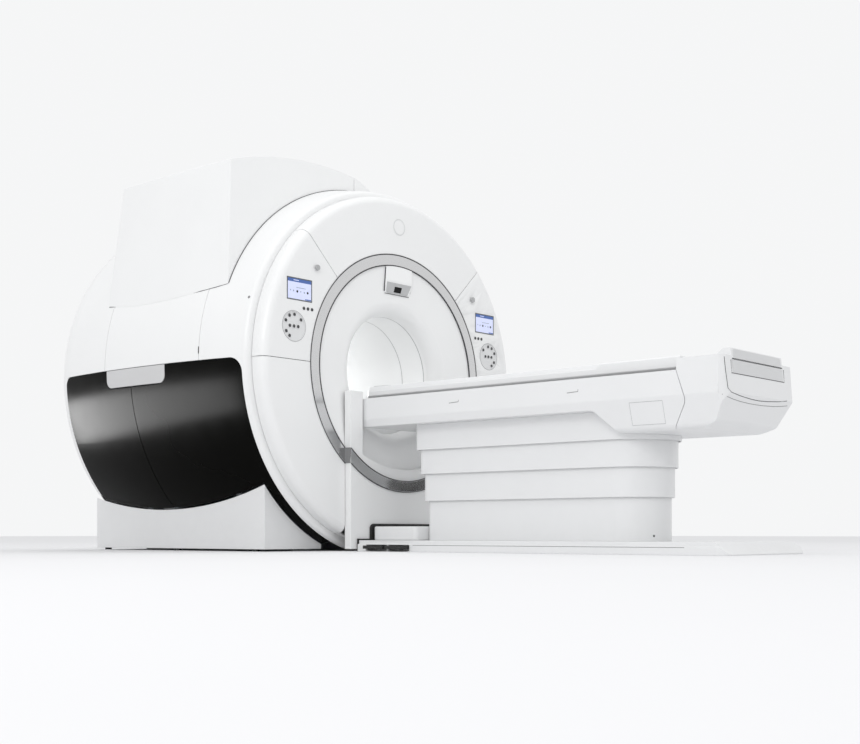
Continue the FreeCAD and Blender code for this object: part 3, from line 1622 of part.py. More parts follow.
def chassis():
    """Frame under the cradle: two rails, cross members and the plate that the ram lifts."""
    wide = s.chassis_half_width
    near, far = ahead(s.table_dock_end + s.chassis_near_gap), ahead(CAP_END - s.chassis_end_gap)
    low = s.chassis_bottom
    inner = wide - s.cradle_rail_width / 2
    whole = block(
        "rail_whole", (-wide, -wide + s.cradle_rail_width), (far, near),
        (low, s.cradle_bottom - s.chassis_play),
    )
    # past the cradle the rails step down to pass under the wall of the end cap
    under_wall = block(
        "rail_step", (-wide - CLEAR, 0), (far - CLEAR, ahead(CAP_START - s.table_wall - s.seat_gap)),
        (s.side_cover_top - s.table_wall - s.seat_gap, s.cradle_bottom),
    )
    rail = cut("cradle_rail", whole, under_wall)
    parts = [rail, mirrored("cradle_rail_right", rail)]
    for share in CROSS_SHARES:
        middle = far + (near - far) * share
        half = s.cross_member_width / 2
        parts.append(block(
            "cross_member", (-inner, inner), (middle - half, middle + half),
            (low, low + s.cross_member_height),
        ))
    plate = s.mast_half_width + s.lift_plate_spare
    parts.append(block(
        "lift_plate", (-inner, inner), (ahead(s.mast_y + plate), ahead(s.mast_y - plate)),
        (low, low + s.lift_plate_height),
    ))
    # outriggers that the end cap and the side covers hang on
    reach = s.table_crease_half_width - s.table_wall - 2 * s.seat_gap
    for share in OUTRIGGER_SHARES:
        middle = far + (near - far) * share
        half = s.outrigger_width / 2
        parts.append(block(
            "outrigger", (-reach, reach), (middle - half, middle + half), (low, low + s.outrigger_height)
        ))
    node("table_chassis", joined("table_chassis", *parts))


# ---------------------------------------------------------------- column

def band(name, number, low, high, wiper):
    """One telescopic band of the column cover; a wiper rim round its top slides in the band above."""
    half = s.column_half_width - s.column_inset * number
    near = s.column_near + s.column_inset * number
    wall = s.column_wall
    skin = prism(name + "_skin", "plan", column_outline(half, near), low, high)
    shapes = [skin]
    if wiper:
        out_half = half + s.column_inset - wall - s.wiper_gap
        out_near = near - s.column_inset + wall + s.wiper_gap
        shapes.append(prism(
            name + "_wiper", "plan", column_outline(out_half, out_near), high - s.wiper_height, high
        ))
    blank = joined(name + "_blank", *shapes) if wiper else skin
    hollow = prism(
        name + "_hollow", "plan", column_outline(half - wall, near + wall), low - CLEAR, high + CLEAR
    )
    return cut(name, blank, hollow)


def column():
    """Four bands of cover round the lift mast and the ram that rises out of it."""
    top = band("band_top_whole", 0, s.band_top, s.beam_bottom + CLEAR, False)
    space = table_solid("table_outer_again", as_size(0))
    node("column_cover_top", cut("column_cover_top", top, space))
    node("column_cover_middle", band(
        "column_cover_middle", 1, s.band_middle, s.band_top + s.band_overlap, True
    ))
    node("column_cover_lower", band(
        "column_cover_lower", 2, s.band_lower, s.band_middle + s.band_overlap, True
    ))
    node("column_base_cover", band(
        "column_base_cover", 3, s.plate_top, s.band_lower + s.band_overlap, True
    ))

    def tube(name, half, wall, low, high):
        y = s.mast_y
        outside = block(name + "_outside", (-half, half), (ahead(y + half), ahead(y - half)), (low, high))
        inside_half = half - wall
        inside = block(
            name + "_inside", (-inside_half, inside_half), (ahead(y + inside_half), ahead(y - inside_half)),
            (low - CLEAR, high + CLEAR),
        )
        return cut(name, outside, inside)

    node("lift_mast", tube("lift_mast", s.mast_half_width, s.mast_wall, s.plate_top, s.mast_top))
    node("lift_ram", tube("lift_ram", s.ram_half_width, s.ram_wall, s.ram_bottom, s.chassis_bottom))


# ---------------------------------------------------------------- floor plate

def floor_plate():
    """Stepped plate on the floor, bevelled at its outer end, with the slots for the foot pedals."""
    half = s.plate_half_width
    near = ahead(s.fairing_forward + s.seal_depth + 2 * s.seat_gap)

    def slab(name, inset, low, high):
        side = half - inset
        far = ahead(s.plate_end - inset)
        return padded_plan(name, [
            Corner(-side, far, s.plate_round), Corner(side, far, s.plate_round),
            Corner(side, near), Corner(-side, near),
        ], low, high)

    base = slab("plate_base", as_size(0), 0, s.plate_step)
    step = slab("plate_upper", s.plate_inset, s.plate_step, s.plate_top)
    end = s.plate_end
    high = s.plate_top + s.seat_gap
    bevel = prism("plate_bevel", "side", [
        Corner(ahead(end + CLEAR), s.plate_nose), Corner(ahead(end), s.plate_nose),
        Corner(ahead(end - s.plate_bevel), high), Corner(ahead(end + CLEAR), high),
    ], *ALONG)
    tools = [bevel]
    play = s.pedal_play
    for number in (0, 1):
        start = s.pedal_start + s.pedal_pitch * number
        tools.append(block(
            "pedal_slot", (-half - CLEAR, -(s.pedal_axis_x - s.pedal_thick / 2 - play / 2)),
            (ahead(start + s.pedal_length + play), ahead(start - play)),
            (s.pedal_axis_height - s.slot_below, s.pedal_axis_height + s.slot_above),
        ))
    length = s.pedal_pitch + s.pedal_length
    past = s.pedal_pin_reach + s.handle_gap
    tools.append(rod(
        "pedal_bearing", "y", s.pedal_pin + s.pin_play,
        (-s.pedal_axis_x, ahead(s.pedal_start + length + past), s.pedal_axis_height), length + 2 * past,
    ))
    node("floor_plate", cut("floor_plate", joined("plate_blank", base, step), *tools))


def pedals():
    """Two black foot pedals on pins along the plate's left edge."""
    for name, number in (("pedal_up", 0), ("pedal_down", 1)):
        start = s.pedal_start + s.pedal_pitch * number
        length = s.pedal_length
        near, far = ahead(start), ahead(start + length)
        tread = prism(name + "_tread", "plan", [
            Corner(-s.pedal_reach, far, s.pedal_round), Corner(-s.pedal_axis_x, far),
            Corner(-s.pedal_axis_x, near), Corner(-s.pedal_reach, near, s.pedal_round),
        ], s.pedal_low, s.pedal_low + s.pedal_thick)
        hub = rod(
            name + "_hub", "y", s.pedal_thick / 2, (-s.pedal_axis_x, far, s.pedal_axis_height), length
        )
        past = s.pedal_pin_reach
        pin = rod(
            name + "_pin", "y", s.pedal_pin, (-s.pedal_axis_x, far - past, s.pedal_axis_height),
            length + 2 * past,
        )
        node(name, joined(name, tread, hub, pin))


def dock_bridge():
    """Low cover between the dock seal and the column."""
    far = s.column_near + s.column_inset * 3 - s.seat_gap
    near = s.fairing_forward + s.seal_depth + 2 * s.seat_gap
    half = s.bridge_half_width
    node("dock_bridge", padded_plan("dock_bridge", [
        Corner(-half, ahead(far), s.bridge_round), Corner(half, ahead(far), s.bridge_round),
        Corner(half, ahead(near), s.bridge_round), Corner(-half, ahead(near), s.bridge_round),
    ], s.plate_top, s.bridge_top_height))


# ---------------------------------------------------------------- build

floor_frame()
magnet()
cold_head()
bore_bridge()
cover_frames()
funnel()
bright_ring()
front_covers()
displays_and_keys()
camera_unit()
dock_fairing()
front_shell()
side_covers()
rear_covers()
plinth()
top_housing()
table_covers()
end_handle()
cradle()
chassis()
column()
floor_plate()
pedals()
dock_bridge()

doc.recompute()

faults = []
for thing in doc.Objects:
    if any(word in thing.State for word in ("Invalid", "Error")):
        faults.append("%s (%s): %s" % (thing.Label, thing.TypeId, thing.State))
for thing in nodes:
    shape = thing.Shape
    if shape.isNull() or not shape.isValid() or not shape.Solids:
        faults.append("%s: no valid solid" % thing.Label)
if faults:
    raise SystemExit("\n".join(faults))

os.makedirs("parts", exist_ok=True)
for thing in nodes:
    thing.Shape.exportStep("parts/%s.step" % thing.Label)
print("%d sub-parts written" % len(nodes))
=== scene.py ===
"""Looks of the MRI scanner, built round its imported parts. Metres, in the frame of the parts."""

import json
import math

import bmesh
import bpy
from mathutils import Matrix, Vector

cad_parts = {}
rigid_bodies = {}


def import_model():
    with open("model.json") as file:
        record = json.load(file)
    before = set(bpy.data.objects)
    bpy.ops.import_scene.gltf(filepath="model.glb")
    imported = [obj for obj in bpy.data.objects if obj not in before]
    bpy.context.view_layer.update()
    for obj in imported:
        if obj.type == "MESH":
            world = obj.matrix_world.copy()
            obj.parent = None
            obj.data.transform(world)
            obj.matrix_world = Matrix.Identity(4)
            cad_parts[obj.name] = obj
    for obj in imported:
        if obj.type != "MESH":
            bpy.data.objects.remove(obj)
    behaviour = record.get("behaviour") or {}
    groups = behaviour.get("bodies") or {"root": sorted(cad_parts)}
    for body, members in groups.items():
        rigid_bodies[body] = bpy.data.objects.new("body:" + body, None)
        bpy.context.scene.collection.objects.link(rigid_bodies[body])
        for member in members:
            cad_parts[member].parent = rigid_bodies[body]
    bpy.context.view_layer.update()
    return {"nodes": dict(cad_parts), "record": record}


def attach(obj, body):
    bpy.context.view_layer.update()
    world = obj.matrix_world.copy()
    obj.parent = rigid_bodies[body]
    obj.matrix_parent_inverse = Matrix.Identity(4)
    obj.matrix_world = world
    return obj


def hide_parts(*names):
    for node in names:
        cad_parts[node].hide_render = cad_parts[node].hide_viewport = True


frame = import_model()

# ---------------------------------------------------------------- sizes

ISO = 1.050                 # bore axis above the floor
FACE = -0.930               # y of the front covers' face
DEPTH = 1.830               # front face to rear face
BORE = 0.350
WALL = 0.006                # moulded front covers
SKIN = 0.008                # moulded barrel covers
SEAM = 0.003
FLOOR_GAP = 0.012
FAR = 1.4                   # past every cover
HIGH = 3.0                  # above every cover
NEAR = 0.1                  # past both sides of the face's covers

EDGE_PANEL = 0.0018         # radii of the softened edges
EDGE_COVER = 0.0016
EDGE_UPPER = 0.0014
EDGE_FUNNEL = 0.0012
EDGE_RING = 0.0008
EDGE_TRIM = 0.0006
EDGE_KEY = 0.0005
EDGE_FINE = 0.0003
EDGE_HAIR = 0.0002
EDGE_ANGLE, FLAT_ANGLE, SHARP_ANGLE = 28.0, 0.4, 40  # degrees
WELD = 0.0002               # points closer than this are one

RING_IN, RING_OUT = 0.641, 0.704
RING_DEPTH = 0.014
RING_PROUD, RING_BEVEL, RING_STEP = 0.002, 0.0025, 0.006
FAIRING_HALF = 0.440
FAIRING_TOP = 0.915
FAIRING_FORWARD = 0.045

FRONT_RADIUS = 1.045
FRONT_ROUND = 0.050
RIM_DEPTH = 0.092
SEAM_HEIGHT = 1.055
LIP_REACH = 0.032

CREST = 1.187               # largest radius of the crowned barrel
BOW = 4.744                 # radius of its crown
CREST_AT = 1.083            # behind the face
SHELL_START = 0.095
SHOULDER_END = 0.200
SHOULDER_ROUND = 0.030
BEAD = 0.030
FRONT_SHELL_END = 0.430
SIDE_SHELL_END = 1.260
TAIL = 1.700
TAIL_ROUND = 0.074
TAIL_DROP = 0.017
REAR_RADIUS = 1.045
BLACK_CORNER = 0.085
BLACK_REAR = 1.728
BLACK_REAR_CORNER = 0.050
BLACK_SPLIT = 1.000
TAB_START, TAB_END = 0.700, 1.240
TAB_HEIGHT = 0.105
TAB_CORNER = 0.045
PLINTH_HALF = 0.875
PLINTH_START, PLINTH_END = 0.190, 1.810

FUNNEL_RADIUS = 0.638
FUNNEL_SET_BACK = 0.005
FUNNEL_CONE = 0.031
FUNNEL_LIP = 0.095
FUNNEL_DEPTH = 0.125
REAR_FUNNEL_RADIUS = 0.515
REAR_FUNNEL_LIP = 0.070
REAR_FUNNEL_START = 1.703
REAR_FUNNEL_CONE = 0.030
TUBE_SEAM = 0.310
GROOVE_WIDE, GROOVE_DEEP = 0.0025, 0.002
COLLAR = 0.020

DISPLAY_X, DISPLAY_Z = 0.786, 1.443
DISPLAY_WIDE, DISPLAY_TALL = 0.182, 0.123
DISH_X, DISH_Z, DISH_RADIUS = 0.826, 1.2375, 0.085
DISH_LINE_OUT, DISH_LINE_IN = 0.0006, 0.0022
BUTTON_X, BUTTON_Z = 0.661, 1.581
KEY_ROW_X, KEY_ROW_Z, KEY_PITCH = 0.725, 1.343, 0.030
KEY_RING, KEY_FACE = 0.064, 0.0092
KEY_ANGLES = (38, 87, 120, 156, 210, 240)
FIT = 0.0003
BUTTON_HOLE = 0.008 + 0.0001
KEY_HOLE = 0.008 + FIT
SCREEN_MARGIN = 0.006
HEAD_BAR = 0.018
BADGE_AT = (0.0, 1.924)
BADGE_RIM, BADGE_HOLLOW, BADGE_DISC = 0.049, 0.043, 0.0425
# painted shade: strips behind the face's seams, from this radius out, this half-width about the
# level seam
SEAM_SHADE_INNER, SEAM_SHADE_HALF = 0.748, 0.006

TABLE_CREASE_HALF, TABLE_CREASE_Z = 0.333, 0.755
TABLE_FOOT_HALF, POD_BOTTOM = 0.286, 0.595

HOUSING_FRONT = -0.630
HOUSING_ARC = (-67.6, 5.0)  # degrees about the bore, from upright
HOUSING_FOOT = (            # (y, z) along its left foot
    (0.388, 1.447), (0.209, 1.433), (-0.033, 1.424), (-0.246, 1.434), (-0.438, 1.450),
    (-0.551, 1.463), (-0.628, 1.476),
)
HOUSING_STEPS = 32
SUNK = 0.001                # how deep beads lie in their surface

# profiles of the rubber at the ring: (depth, radius beyond the ring's edge)
GASKET = (
    (-0.0034, -0.0006), (-0.0034, 0.0042), (-0.0002, 0.0042), (-0.0002, 0.0017),
    (0.006, 0.0017), (0.006, 0.0002), (-0.0021, 0.0002), (-0.0021, -0.0006),
)
GASKET_STEP = (
    (0.0072, -0.0006), (0.0072, 0.003), (0, 0.003),
    (0, 0.0003), (0.0061, 0.0003), (0.0061, -0.0006),
)

CROWN_STEP = 0.04           # between points along the crowned skin
TURNS = 240                 # steps of a full turn about the bore
SECTOR = 8                  # steps in each of its sectors
ROUND, SMALL_ROUND = 96, 32  # steps of a disc's edge

# noise is used between these two values
NOISE_LOW, NOISE_HIGH = 0.3, 0.7
FLOOR_DARK_LOW, FLOOR_DARK_HIGH = 0.02, 0.30  # heights between which the darkening near the floor fades
FLOOR_DARKNESS = 0.62                 # how dark it gets at the floor
GRAIN_STRENGTH = 0.35
WAVE_BANDS = 3.2            # of the wave texture in a metre
BRUSH_FINE, BRUSH_LONG = 900.0, 8.0
RIB_DEPTH = 0.0012

# studio; lamps are (place, aim, width, height, watts)
FLOOR_HALF = 30
CARD_HALF, CARD_Y, CARD_LOW, CARD_TOP = 14.0, -9.5, 0.01, 1.40
ROOM = (0.955, 0.96, 0.965, 1)
BRIGHT_WAY = (-0.35, 0.80, 0.45)
DIM_FROM, BRIGHT_FROM = -0.8, 0.1
ROOM_DIM, ROOM_BRIGHT = 0.90, 0.96
KEY_LAMP = (-8.0, -5.0, 5.0), (0, -1.0, 1.0), 5.0, 3.0, 130
OVERHEAD_LAMP = (-1.0, -2.0, 6.5), (0, -1.0, 0.8), 6.0, 6.0, 60
BORE_LAMP = (0.0, 1.6, 1.15), (0, 0.0, 1.05), 0.5, 0.4, 38
STRIP_AT, STRIP_AIM = (1.93, 1.12, 0.60), (1.003, 0.744, 0.60)
STRIP_LAMP = 2.5, 0.60, 115

SENSOR, LENS = 36.0, 54.97
LENS_SHIFT = -0.0699, 0.1869
EYE = (-5.640, -6.379, 0.105)
HEADING = -49.95            # degrees from +Y


def behind(distance):
    """Y of a place this far behind the front face."""
    return FACE + distance


def ahead(distance):
    """Y of a place this far in front of the front face, on the table's side."""
    return FACE - distance


def barrel(distance):
    """Radius of the crowned skin this far behind the front face."""
    return CREST - BOW + math.sqrt(BOW * BOW - (distance - CREST_AT) ** 2)


def crown(start, end):
    """Points (y, radius) along the crowned skin."""
    count = max(2, round(abs(end - start) / CROWN_STEP))
    places = [start + (end - start) * i / count for i in range(count + 1)]
    return [(behind(d), barrel(d)) for d in places]


# ---------------------------------------------------------------- mesh helpers

def link(name, mesh):
    obj = bpy.data.objects.new(name, mesh)
    bpy.context.scene.collection.objects.link(obj)
    return obj


def from_lists(name, points, faces):
    mesh = bpy.data.meshes.new(name)
    mesh.from_pydata(points, [], faces)
    mesh.update()
    obj = link(name, mesh)
    outward(obj)
    return obj


def outward(obj):
    """Turn every face to look out of the closed form."""
    form = bmesh.new()
    form.from_mesh(obj.data)
    bmesh.ops.recalc_face_normals(form, faces=form.faces)
    form.to_mesh(obj.data)
    form.free()


def turn(centre, radius, first, last, steps):
    """Points of an arc, angles in degrees."""
    angles = [math.radians(first + (last - first) * i / steps) for i in range(steps + 1)]
    return [(centre[0] + radius * math.cos(a), centre[1] + radius * math.sin(a)) for a in angles]


def rounded(corners, steps=8):
    """Points of an outline whose corners are (u, v) or (u, v, radius)."""
    points = []
    count = len(corners)
    for i, corner in enumerate(corners):
        here = Vector(corner[:2])
        if len(corner) < 3:
            points.append(tuple(here))
            continue
        back = (Vector(corners[i - 1][:2]) - here).normalized()
        on = (Vector(corners[(i + 1) % count][:2]) - here).normalized()
        half = back.angle(on) / 2
        centre = here + (back + on).normalized() * (corner[2] / math.sin(half))
        start = here + back * (corner[2] / math.tan(half)) - centre
        sweep = start.angle_signed(here + on * (corner[2] / math.tan(half)) - centre)
        for step in range(steps + 1):
            points.append(tuple(centre + Matrix.Rotation(-sweep * step / steps, 2) @ start))
    return points


def ring(name, profile):
    """A closed profile of (y, radius) turned about the bore axis."""
    points, faces = [], []
    count = len(profile)
    for i in range(TURNS):
        angle = 2 * math.pi * (i + 0.5) / TURNS
        for y, radius in profile:
            points.append((radius * math.sin(angle), y, ISO + radius * math.cos(angle)))
    for i in range(TURNS):
        after = (i + 1) % TURNS
        for j in range(count):
            k = (j + 1) % count
            faces.append((i * count + j, i * count + k, after * count + k, after * count + j))
    obj = from_lists(name, points, faces)
    # sectors that alternate keep the flat rims from being merged into one face with a hole
    for slot in (None, None):
        obj.data.materials.append(slot)
    for number, face in enumerate(obj.data.polygons):
        face.material_index = number // (count * SECTOR) % 2
    return obj


PLANES = {
    "front": lambda u, v, run: (u, run, v),
    "side": lambda u, v, run: (run, u, v),
    "plan": lambda u, v, run: (u, v, run),
}


def prism(name, plane, outline, low, high):
    """An outline in a drawing plane, run from one level to another."""
    count = len(outline)
    place = PLANES[plane]
    points = [place(u, v, low) for u, v in outline] + [place(u, v, high) for u, v in outline]
    faces = [tuple(range(count)), tuple(range(2 * count - 1, count - 1, -1))]
    faces += [(i, (i + 1) % count, count + (i + 1) % count, count + i) for i in range(count)]
    return from_lists(name, points, faces)


def block(name, x, y, z):
    return prism(name, "plan", [(x[0], y[0]), (x[1], y[0]), (x[1], y[1]), (x[0], y[1])], z[0], z[1])


def disc_prism(name, plane, centre, radius, low, high, steps=48):
    outline = turn(centre, radius, 0, 360, steps)[:-1]
    return prism(name, plane, outline, low, high)


def settle(obj):
    """Keep what the modifiers give as the piece's own mesh."""
    graph = bpy.context.evaluated_depsgraph_get()
    mesh = bpy.data.meshes.new_from_object(obj.evaluated_get(graph))
    obj.modifiers.clear()
    obj.data = mesh
    return obj


def carve(obj, operation, *tools):
    """Cut the tools out of a piece, or keep only what they share with it."""
    for tool in tools:
        boolean = obj.modifiers.new("carve", "BOOLEAN")
        boolean.operation = operation
        boolean.solver = "EXACT"
        boolean.object = tool
    settle(obj)
    for tool in tools:
        bpy.data.objects.remove(tool)
    return obj


def keep(obj, tool):
    return carve(obj, "INTERSECT", tool)


def cut(obj, *tools):
    return carve(obj, "DIFFERENCE", *tools)


def copied(name, obj):
    return link(name, obj.data.copy())


def mirrored(name, obj):
    """The same piece on the right side."""
    twin = copied(name, obj)
    twin.data.transform(Matrix.Scale(-1, 4, (1, 0, 0)))
    twin.data.flip_normals()
    return twin


def soften(obj, width, steps=2):
    """Round the edges a little, as moulded covers have them, and shade smoothly between."""
    form = bmesh.new()
    form.from_mesh(obj.data)
    bmesh.ops.remove_doubles(form, verts=form.verts, dist=WELD)
    # parts of a flat face on two sides of the middle stay apart, so none becomes a face with a hole
    along = [[vert.co[i] for vert in form.verts] for i in range(3)]
    middle = [(min(values) + max(values)) / 2 for values in along]
    for way in ((1, 0, 0), (0, 1, 0), (0, 0, 1)):
        bmesh.ops.bisect_plane(
            form, geom=form.verts[:] + form.edges[:] + form.faces[:],
            dist=WELD / 10, plane_co=middle, plane_no=way,
        )
    for face in form.faces:
        centre = face.calc_center_median()
        sides = sum(centre[i] > middle[i] for i in range(3))
        face.material_index = (face.material_index + sides) % 2
    bmesh.ops.dissolve_limit(
        form, angle_limit=math.radians(FLAT_ANGLE), verts=form.verts, edges=form.edges,
        delimit={"NORMAL", "MATERIAL"},
    )
    for face in form.faces:
        face.material_index = 0
    form.to_mesh(obj.data)
    form.free()
    if width:
        bevel = obj.modifiers.new("edge", "BEVEL")
        bevel.width = width
        bevel.segments = steps
        bevel.limit_method = "ANGLE"
        bevel.angle_limit = math.radians(EDGE_ANGLE)
        bevel.use_clamp_overlap = False
        bevel.miter_outer = "MITER_ARC"
    settle(obj)
    obj.data.shade_smooth()
    obj.data.set_sharp_from_angle(angle=math.radians(SHARP_ANGLE))
    weighted = obj.modifiers.new("normals", "WEIGHTED_NORMAL")
    weighted.keep_sharp = True
    weighted.weight = 50
    settle(obj)
    return obj


def dress(obj, slot, body="root", *nodes):
    """Material, carrier and what the piece stands for."""
    obj.data.materials.clear()
    obj.data.materials.append(materials[slot])
    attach(obj, body)
    if nodes:
        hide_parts(*nodes)
    return obj


def cover(obj, node, width=EDGE_COVER):
    """A white cover of the magnet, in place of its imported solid."""
    dress(soften(obj, width), "cover_white", "root", node)


def pair(piece, width, slot, node=None):
    """Finish a piece of the left side, and its twin on the right."""
    soften(piece, width)
    twin = mirrored(piece.name.replace("left", "right"), piece)
    for obj, side in ((piece, "_left"), (twin, "_right")):
        dress(obj, slot, "root", *([node + side] if node else ()))


# ---------------------------------------------------------------- materials

materials = {}


def node_link(tree, source, output, target, entry):
    tree.links.new(source.outputs[output], target.inputs[entry])


def ramp(tree, low, high, source, output):
    """A noise value brought between two numbers."""
    scale = tree.nodes.new("ShaderNodeMapRange")
    scale.inputs["From Min"].default_value = NOISE_LOW
    scale.inputs["From Max"].default_value = NOISE_HIGH
    scale.inputs["To Min"].default_value = low
    scale.inputs["To Max"].default_value = high
    node_link(tree, source, output, scale, "Value")
    return scale


def noise(tree, place, size, detail):
    """Noise whose grains are about so many metres across."""
    grain = tree.nodes.new("ShaderNodeTexNoise")
    grain.inputs["Scale"].default_value = 1 / size
    grain.inputs["Detail"].default_value = detail
    node_link(tree, place, "Object", grain, "Vector")
    return grain


def surface(name, colour, rough, spread=0.04, tint=0.03, grain=0.0012, grain_depth=0.00003,
            metallic=0.0, coat=0.0, coat_rough=0.05, patch=0.35, floor_darkening=0.0, emission=0.0,
            specular=0.5):
    """A procedural finish: tone and gloss that vary a little, fine grain, and blotches that darken
    it towards the floor.
    """
    material = materials[name] = bpy.data.materials.new(name)
    material.use_nodes = True
    tree = material.node_tree
    shader = tree.nodes["Principled BSDF"]
    shader.inputs["Metallic"].default_value = metallic
    shader.inputs["Coat Weight"].default_value = coat
    shader.inputs["Coat Roughness"].default_value = coat_rough
    shader.inputs["Specular IOR Level"].default_value = specular
    place = tree.nodes.new("ShaderNodeTexCoord")

    broad = noise(tree, place, patch, 3.0)
    tone = tree.nodes.new("ShaderNodeMix")
    tone.data_type = "RGBA"
    tone.inputs[6].default_value = (*[c * (1 - tint) for c in colour], 1)
    tone.inputs[7].default_value = (*[min(1, c * (1 + tint)) for c in colour], 1)
    share = ramp(tree, 0.0, 1.0, broad, "Fac")
    node_link(tree, share, "Result", tone, 0)
    last = tone
    # darker in blotches towards the floor, fading out with height
    if floor_darkening:
        split = tree.nodes.new("ShaderNodeSeparateXYZ")
        node_link(tree, place, "Object", split, "Vector")
        low = tree.nodes.new("ShaderNodeMapRange")
        low.inputs["From Min"].default_value = FLOOR_DARK_LOW
        low.inputs["From Max"].default_value = FLOOR_DARK_HIGH
        low.inputs["To Min"].default_value = floor_darkening
        low.inputs["To Max"].default_value = 0.0
        node_link(tree, split, "Z", low, "Value")
        floor_blotch = noise(tree, place, 0.05, 6.0)
        floor_dark_amount = tree.nodes.new("ShaderNodeMath")
        floor_dark_amount.operation = "MULTIPLY"
        node_link(tree, low, "Result", floor_dark_amount, 0)
        node_link(tree, floor_blotch, "Fac", floor_dark_amount, 1)
        floor_dark_mix = tree.nodes.new("ShaderNodeMix")
        floor_dark_mix.data_type = "RGBA"
        floor_dark_mix.inputs[7].default_value = (*[c * FLOOR_DARKNESS for c in colour], 1)
        node_link(tree, floor_dark_amount, "Value", floor_dark_mix, 0)
        node_link(tree, tone, 2, floor_dark_mix, 6)
        last = floor_dark_mix
    node_link(tree, last, 2, shader, "Base Color")
    if emission:
        node_link(tree, last, 2, shader, "Emission Color")
        shader.inputs["Emission Strength"].default_value = emission

    sheen = noise(tree, place, patch / 3, 4.0)
    gloss = ramp(tree, max(0.02, rough - spread), rough + spread, sheen, "Fac")
    node_link(tree, gloss, "Result", shader, "Roughness")

    fine = noise(tree, place, grain, 2.0)
    bump = tree.nodes.new("ShaderNodeBump")
    bump.inputs["Strength"].default_value = GRAIN_STRENGTH
    bump.inputs["Distance"].default_value = grain_depth
    node_link(tree, fine, "Fac", bump, "Height")
    node_link(tree, bump, "Normal", shader, "Normal")
    return material


def brushed(name, colour, rough, along):
    """Metal with fine lines along one axis."""
    material = surface(name, colour, rough, metallic=1.0, grain=0.004)
    tree = material.node_tree
    place = tree.nodes["Texture Coordinate"]
    stretch = tree.nodes.new("ShaderNodeMapping")
    scale = [BRUSH_FINE, BRUSH_FINE, BRUSH_FINE]
    scale["xyz".index(along)] = BRUSH_LONG
    stretch.inputs["Scale"].default_value = scale
    node_link(tree, place, "Object", stretch, "Vector")
    lines = tree.nodes.new("ShaderNodeTexNoise")
    lines.inputs["Scale"].default_value = 1.0
    node_link(tree, stretch, "Vector", lines, "Vector")
    node_link(tree, lines, "Fac", tree.nodes["Bump"], "Height")
    return material


def ribbed(name, colour, rough, pitch):
    """Rubber with ribs across the tread."""
    material = surface(name, colour, rough)
    tree = material.node_tree
    wave = tree.nodes.new("ShaderNodeTexWave")
    wave.bands_direction = "Y"
    wave.inputs["Scale"].default_value = 1 / pitch / WAVE_BANDS
    node_link(tree, tree.nodes["Texture Coordinate"], "Object", wave, "Vector")
    bump = tree.nodes["Bump"]
    bump.inputs["Strength"].default_value = 1.0
    bump.inputs["Distance"].default_value = RIB_DEPTH
    node_link(tree, wave, "Fac", bump, "Height")
    return material


surface("cover_white", (0.86, 0.865, 0.865), 0.34, coat=0.25, coat_rough=0.22, tint=0.008)
surface("table_white", (0.80, 0.805, 0.81), 0.38, coat=0.2, coat_rough=0.25, tint=0.01, floor_darkening=0.10)
surface("plinth_grey", (0.78, 0.785, 0.79), 0.45, tint=0.012, floor_darkening=0.18)
surface("tab_grey", (0.60, 0.60, 0.605), 0.42, tint=0.01)
surface("panel_black", (0.0022, 0.0022, 0.0018), 0.245, spread=0.02, tint=0.15,
        grain_depth=0.000001, specular=0.03)
surface("ring_satin", (0.70, 0.70, 0.705), 0.14, spread=0.02, metallic=1.0, tint=0.02, grain=0.0006)
surface("display", (0.10, 0.11, 0.12), 0.32, coat=0.6)
surface("screen_lit", (0.58, 0.62, 0.82), 0.22, emission=0.3, patch=0.05)
surface("screen_bar", (0.06, 0.12, 0.34), 0.22, emission=0.25)
surface("screen_mark", (0.004, 0.005, 0.008), 0.32)
surface("screen_faint", (0.30, 0.36, 0.44), 0.32)
surface("keys", (0.74, 0.745, 0.75), 0.45, tint=0.01)
surface("key_face", (0.055, 0.055, 0.058), 0.45)
surface("button_grey", (0.42, 0.425, 0.43), 0.38)
surface("window_black", (0.004, 0.004, 0.005), 0.10, specular=0.2)
surface("seal_rubber", (0.012, 0.012, 0.012), 0.6, grain=0.0008, grain_depth=0.0001)
surface("cradle_board", (0.82, 0.825, 0.83), 0.34, coat=0.3, coat_rough=0.2, tint=0.01)
surface("port_grey", (0.70, 0.705, 0.71), 0.4)
surface("handle_grey", (0.66, 0.665, 0.67), 0.42, tint=0.02)
# painted shade: the grey of the camera hood's downward-facing chin
surface("chin_grey", (0.50, 0.505, 0.51), 0.42, tint=0.02)
ribbed("pedal_black", (0.018, 0.018, 0.019), 0.55, 0.008)
surface("foot_rubber", (0.02, 0.02, 0.02), 0.65, grain_depth=0.0001)
surface("frame_metal", (0.30, 0.32, 0.34), 0.5, grain_depth=0.00008)
brushed("vessel_steel", (0.55, 0.56, 0.57), 0.34, "y")
surface("coil_resin", (0.62, 0.52, 0.30), 0.5, tint=0.08, grain_depth=0.0002)
surface("coil_copper", (0.62, 0.62, 0.56), 0.45, tint=0.04)
brushed("cold_head_metal", (0.66, 0.67, 0.68), 0.3, "z")
brushed("chassis_aluminium", (0.66, 0.67, 0.68), 0.36, "y")
brushed("lift_steel", (0.45, 0.46, 0.48), 0.35, "z")
surface("line_dark", (0.07, 0.07, 0.075), 0.6)
surface("line_grey", (0.22, 0.222, 0.225), 0.6)
surface("line_pale", (0.42, 0.425, 0.43), 0.6)

# ---------------------------------------------------------------- front of the magnet

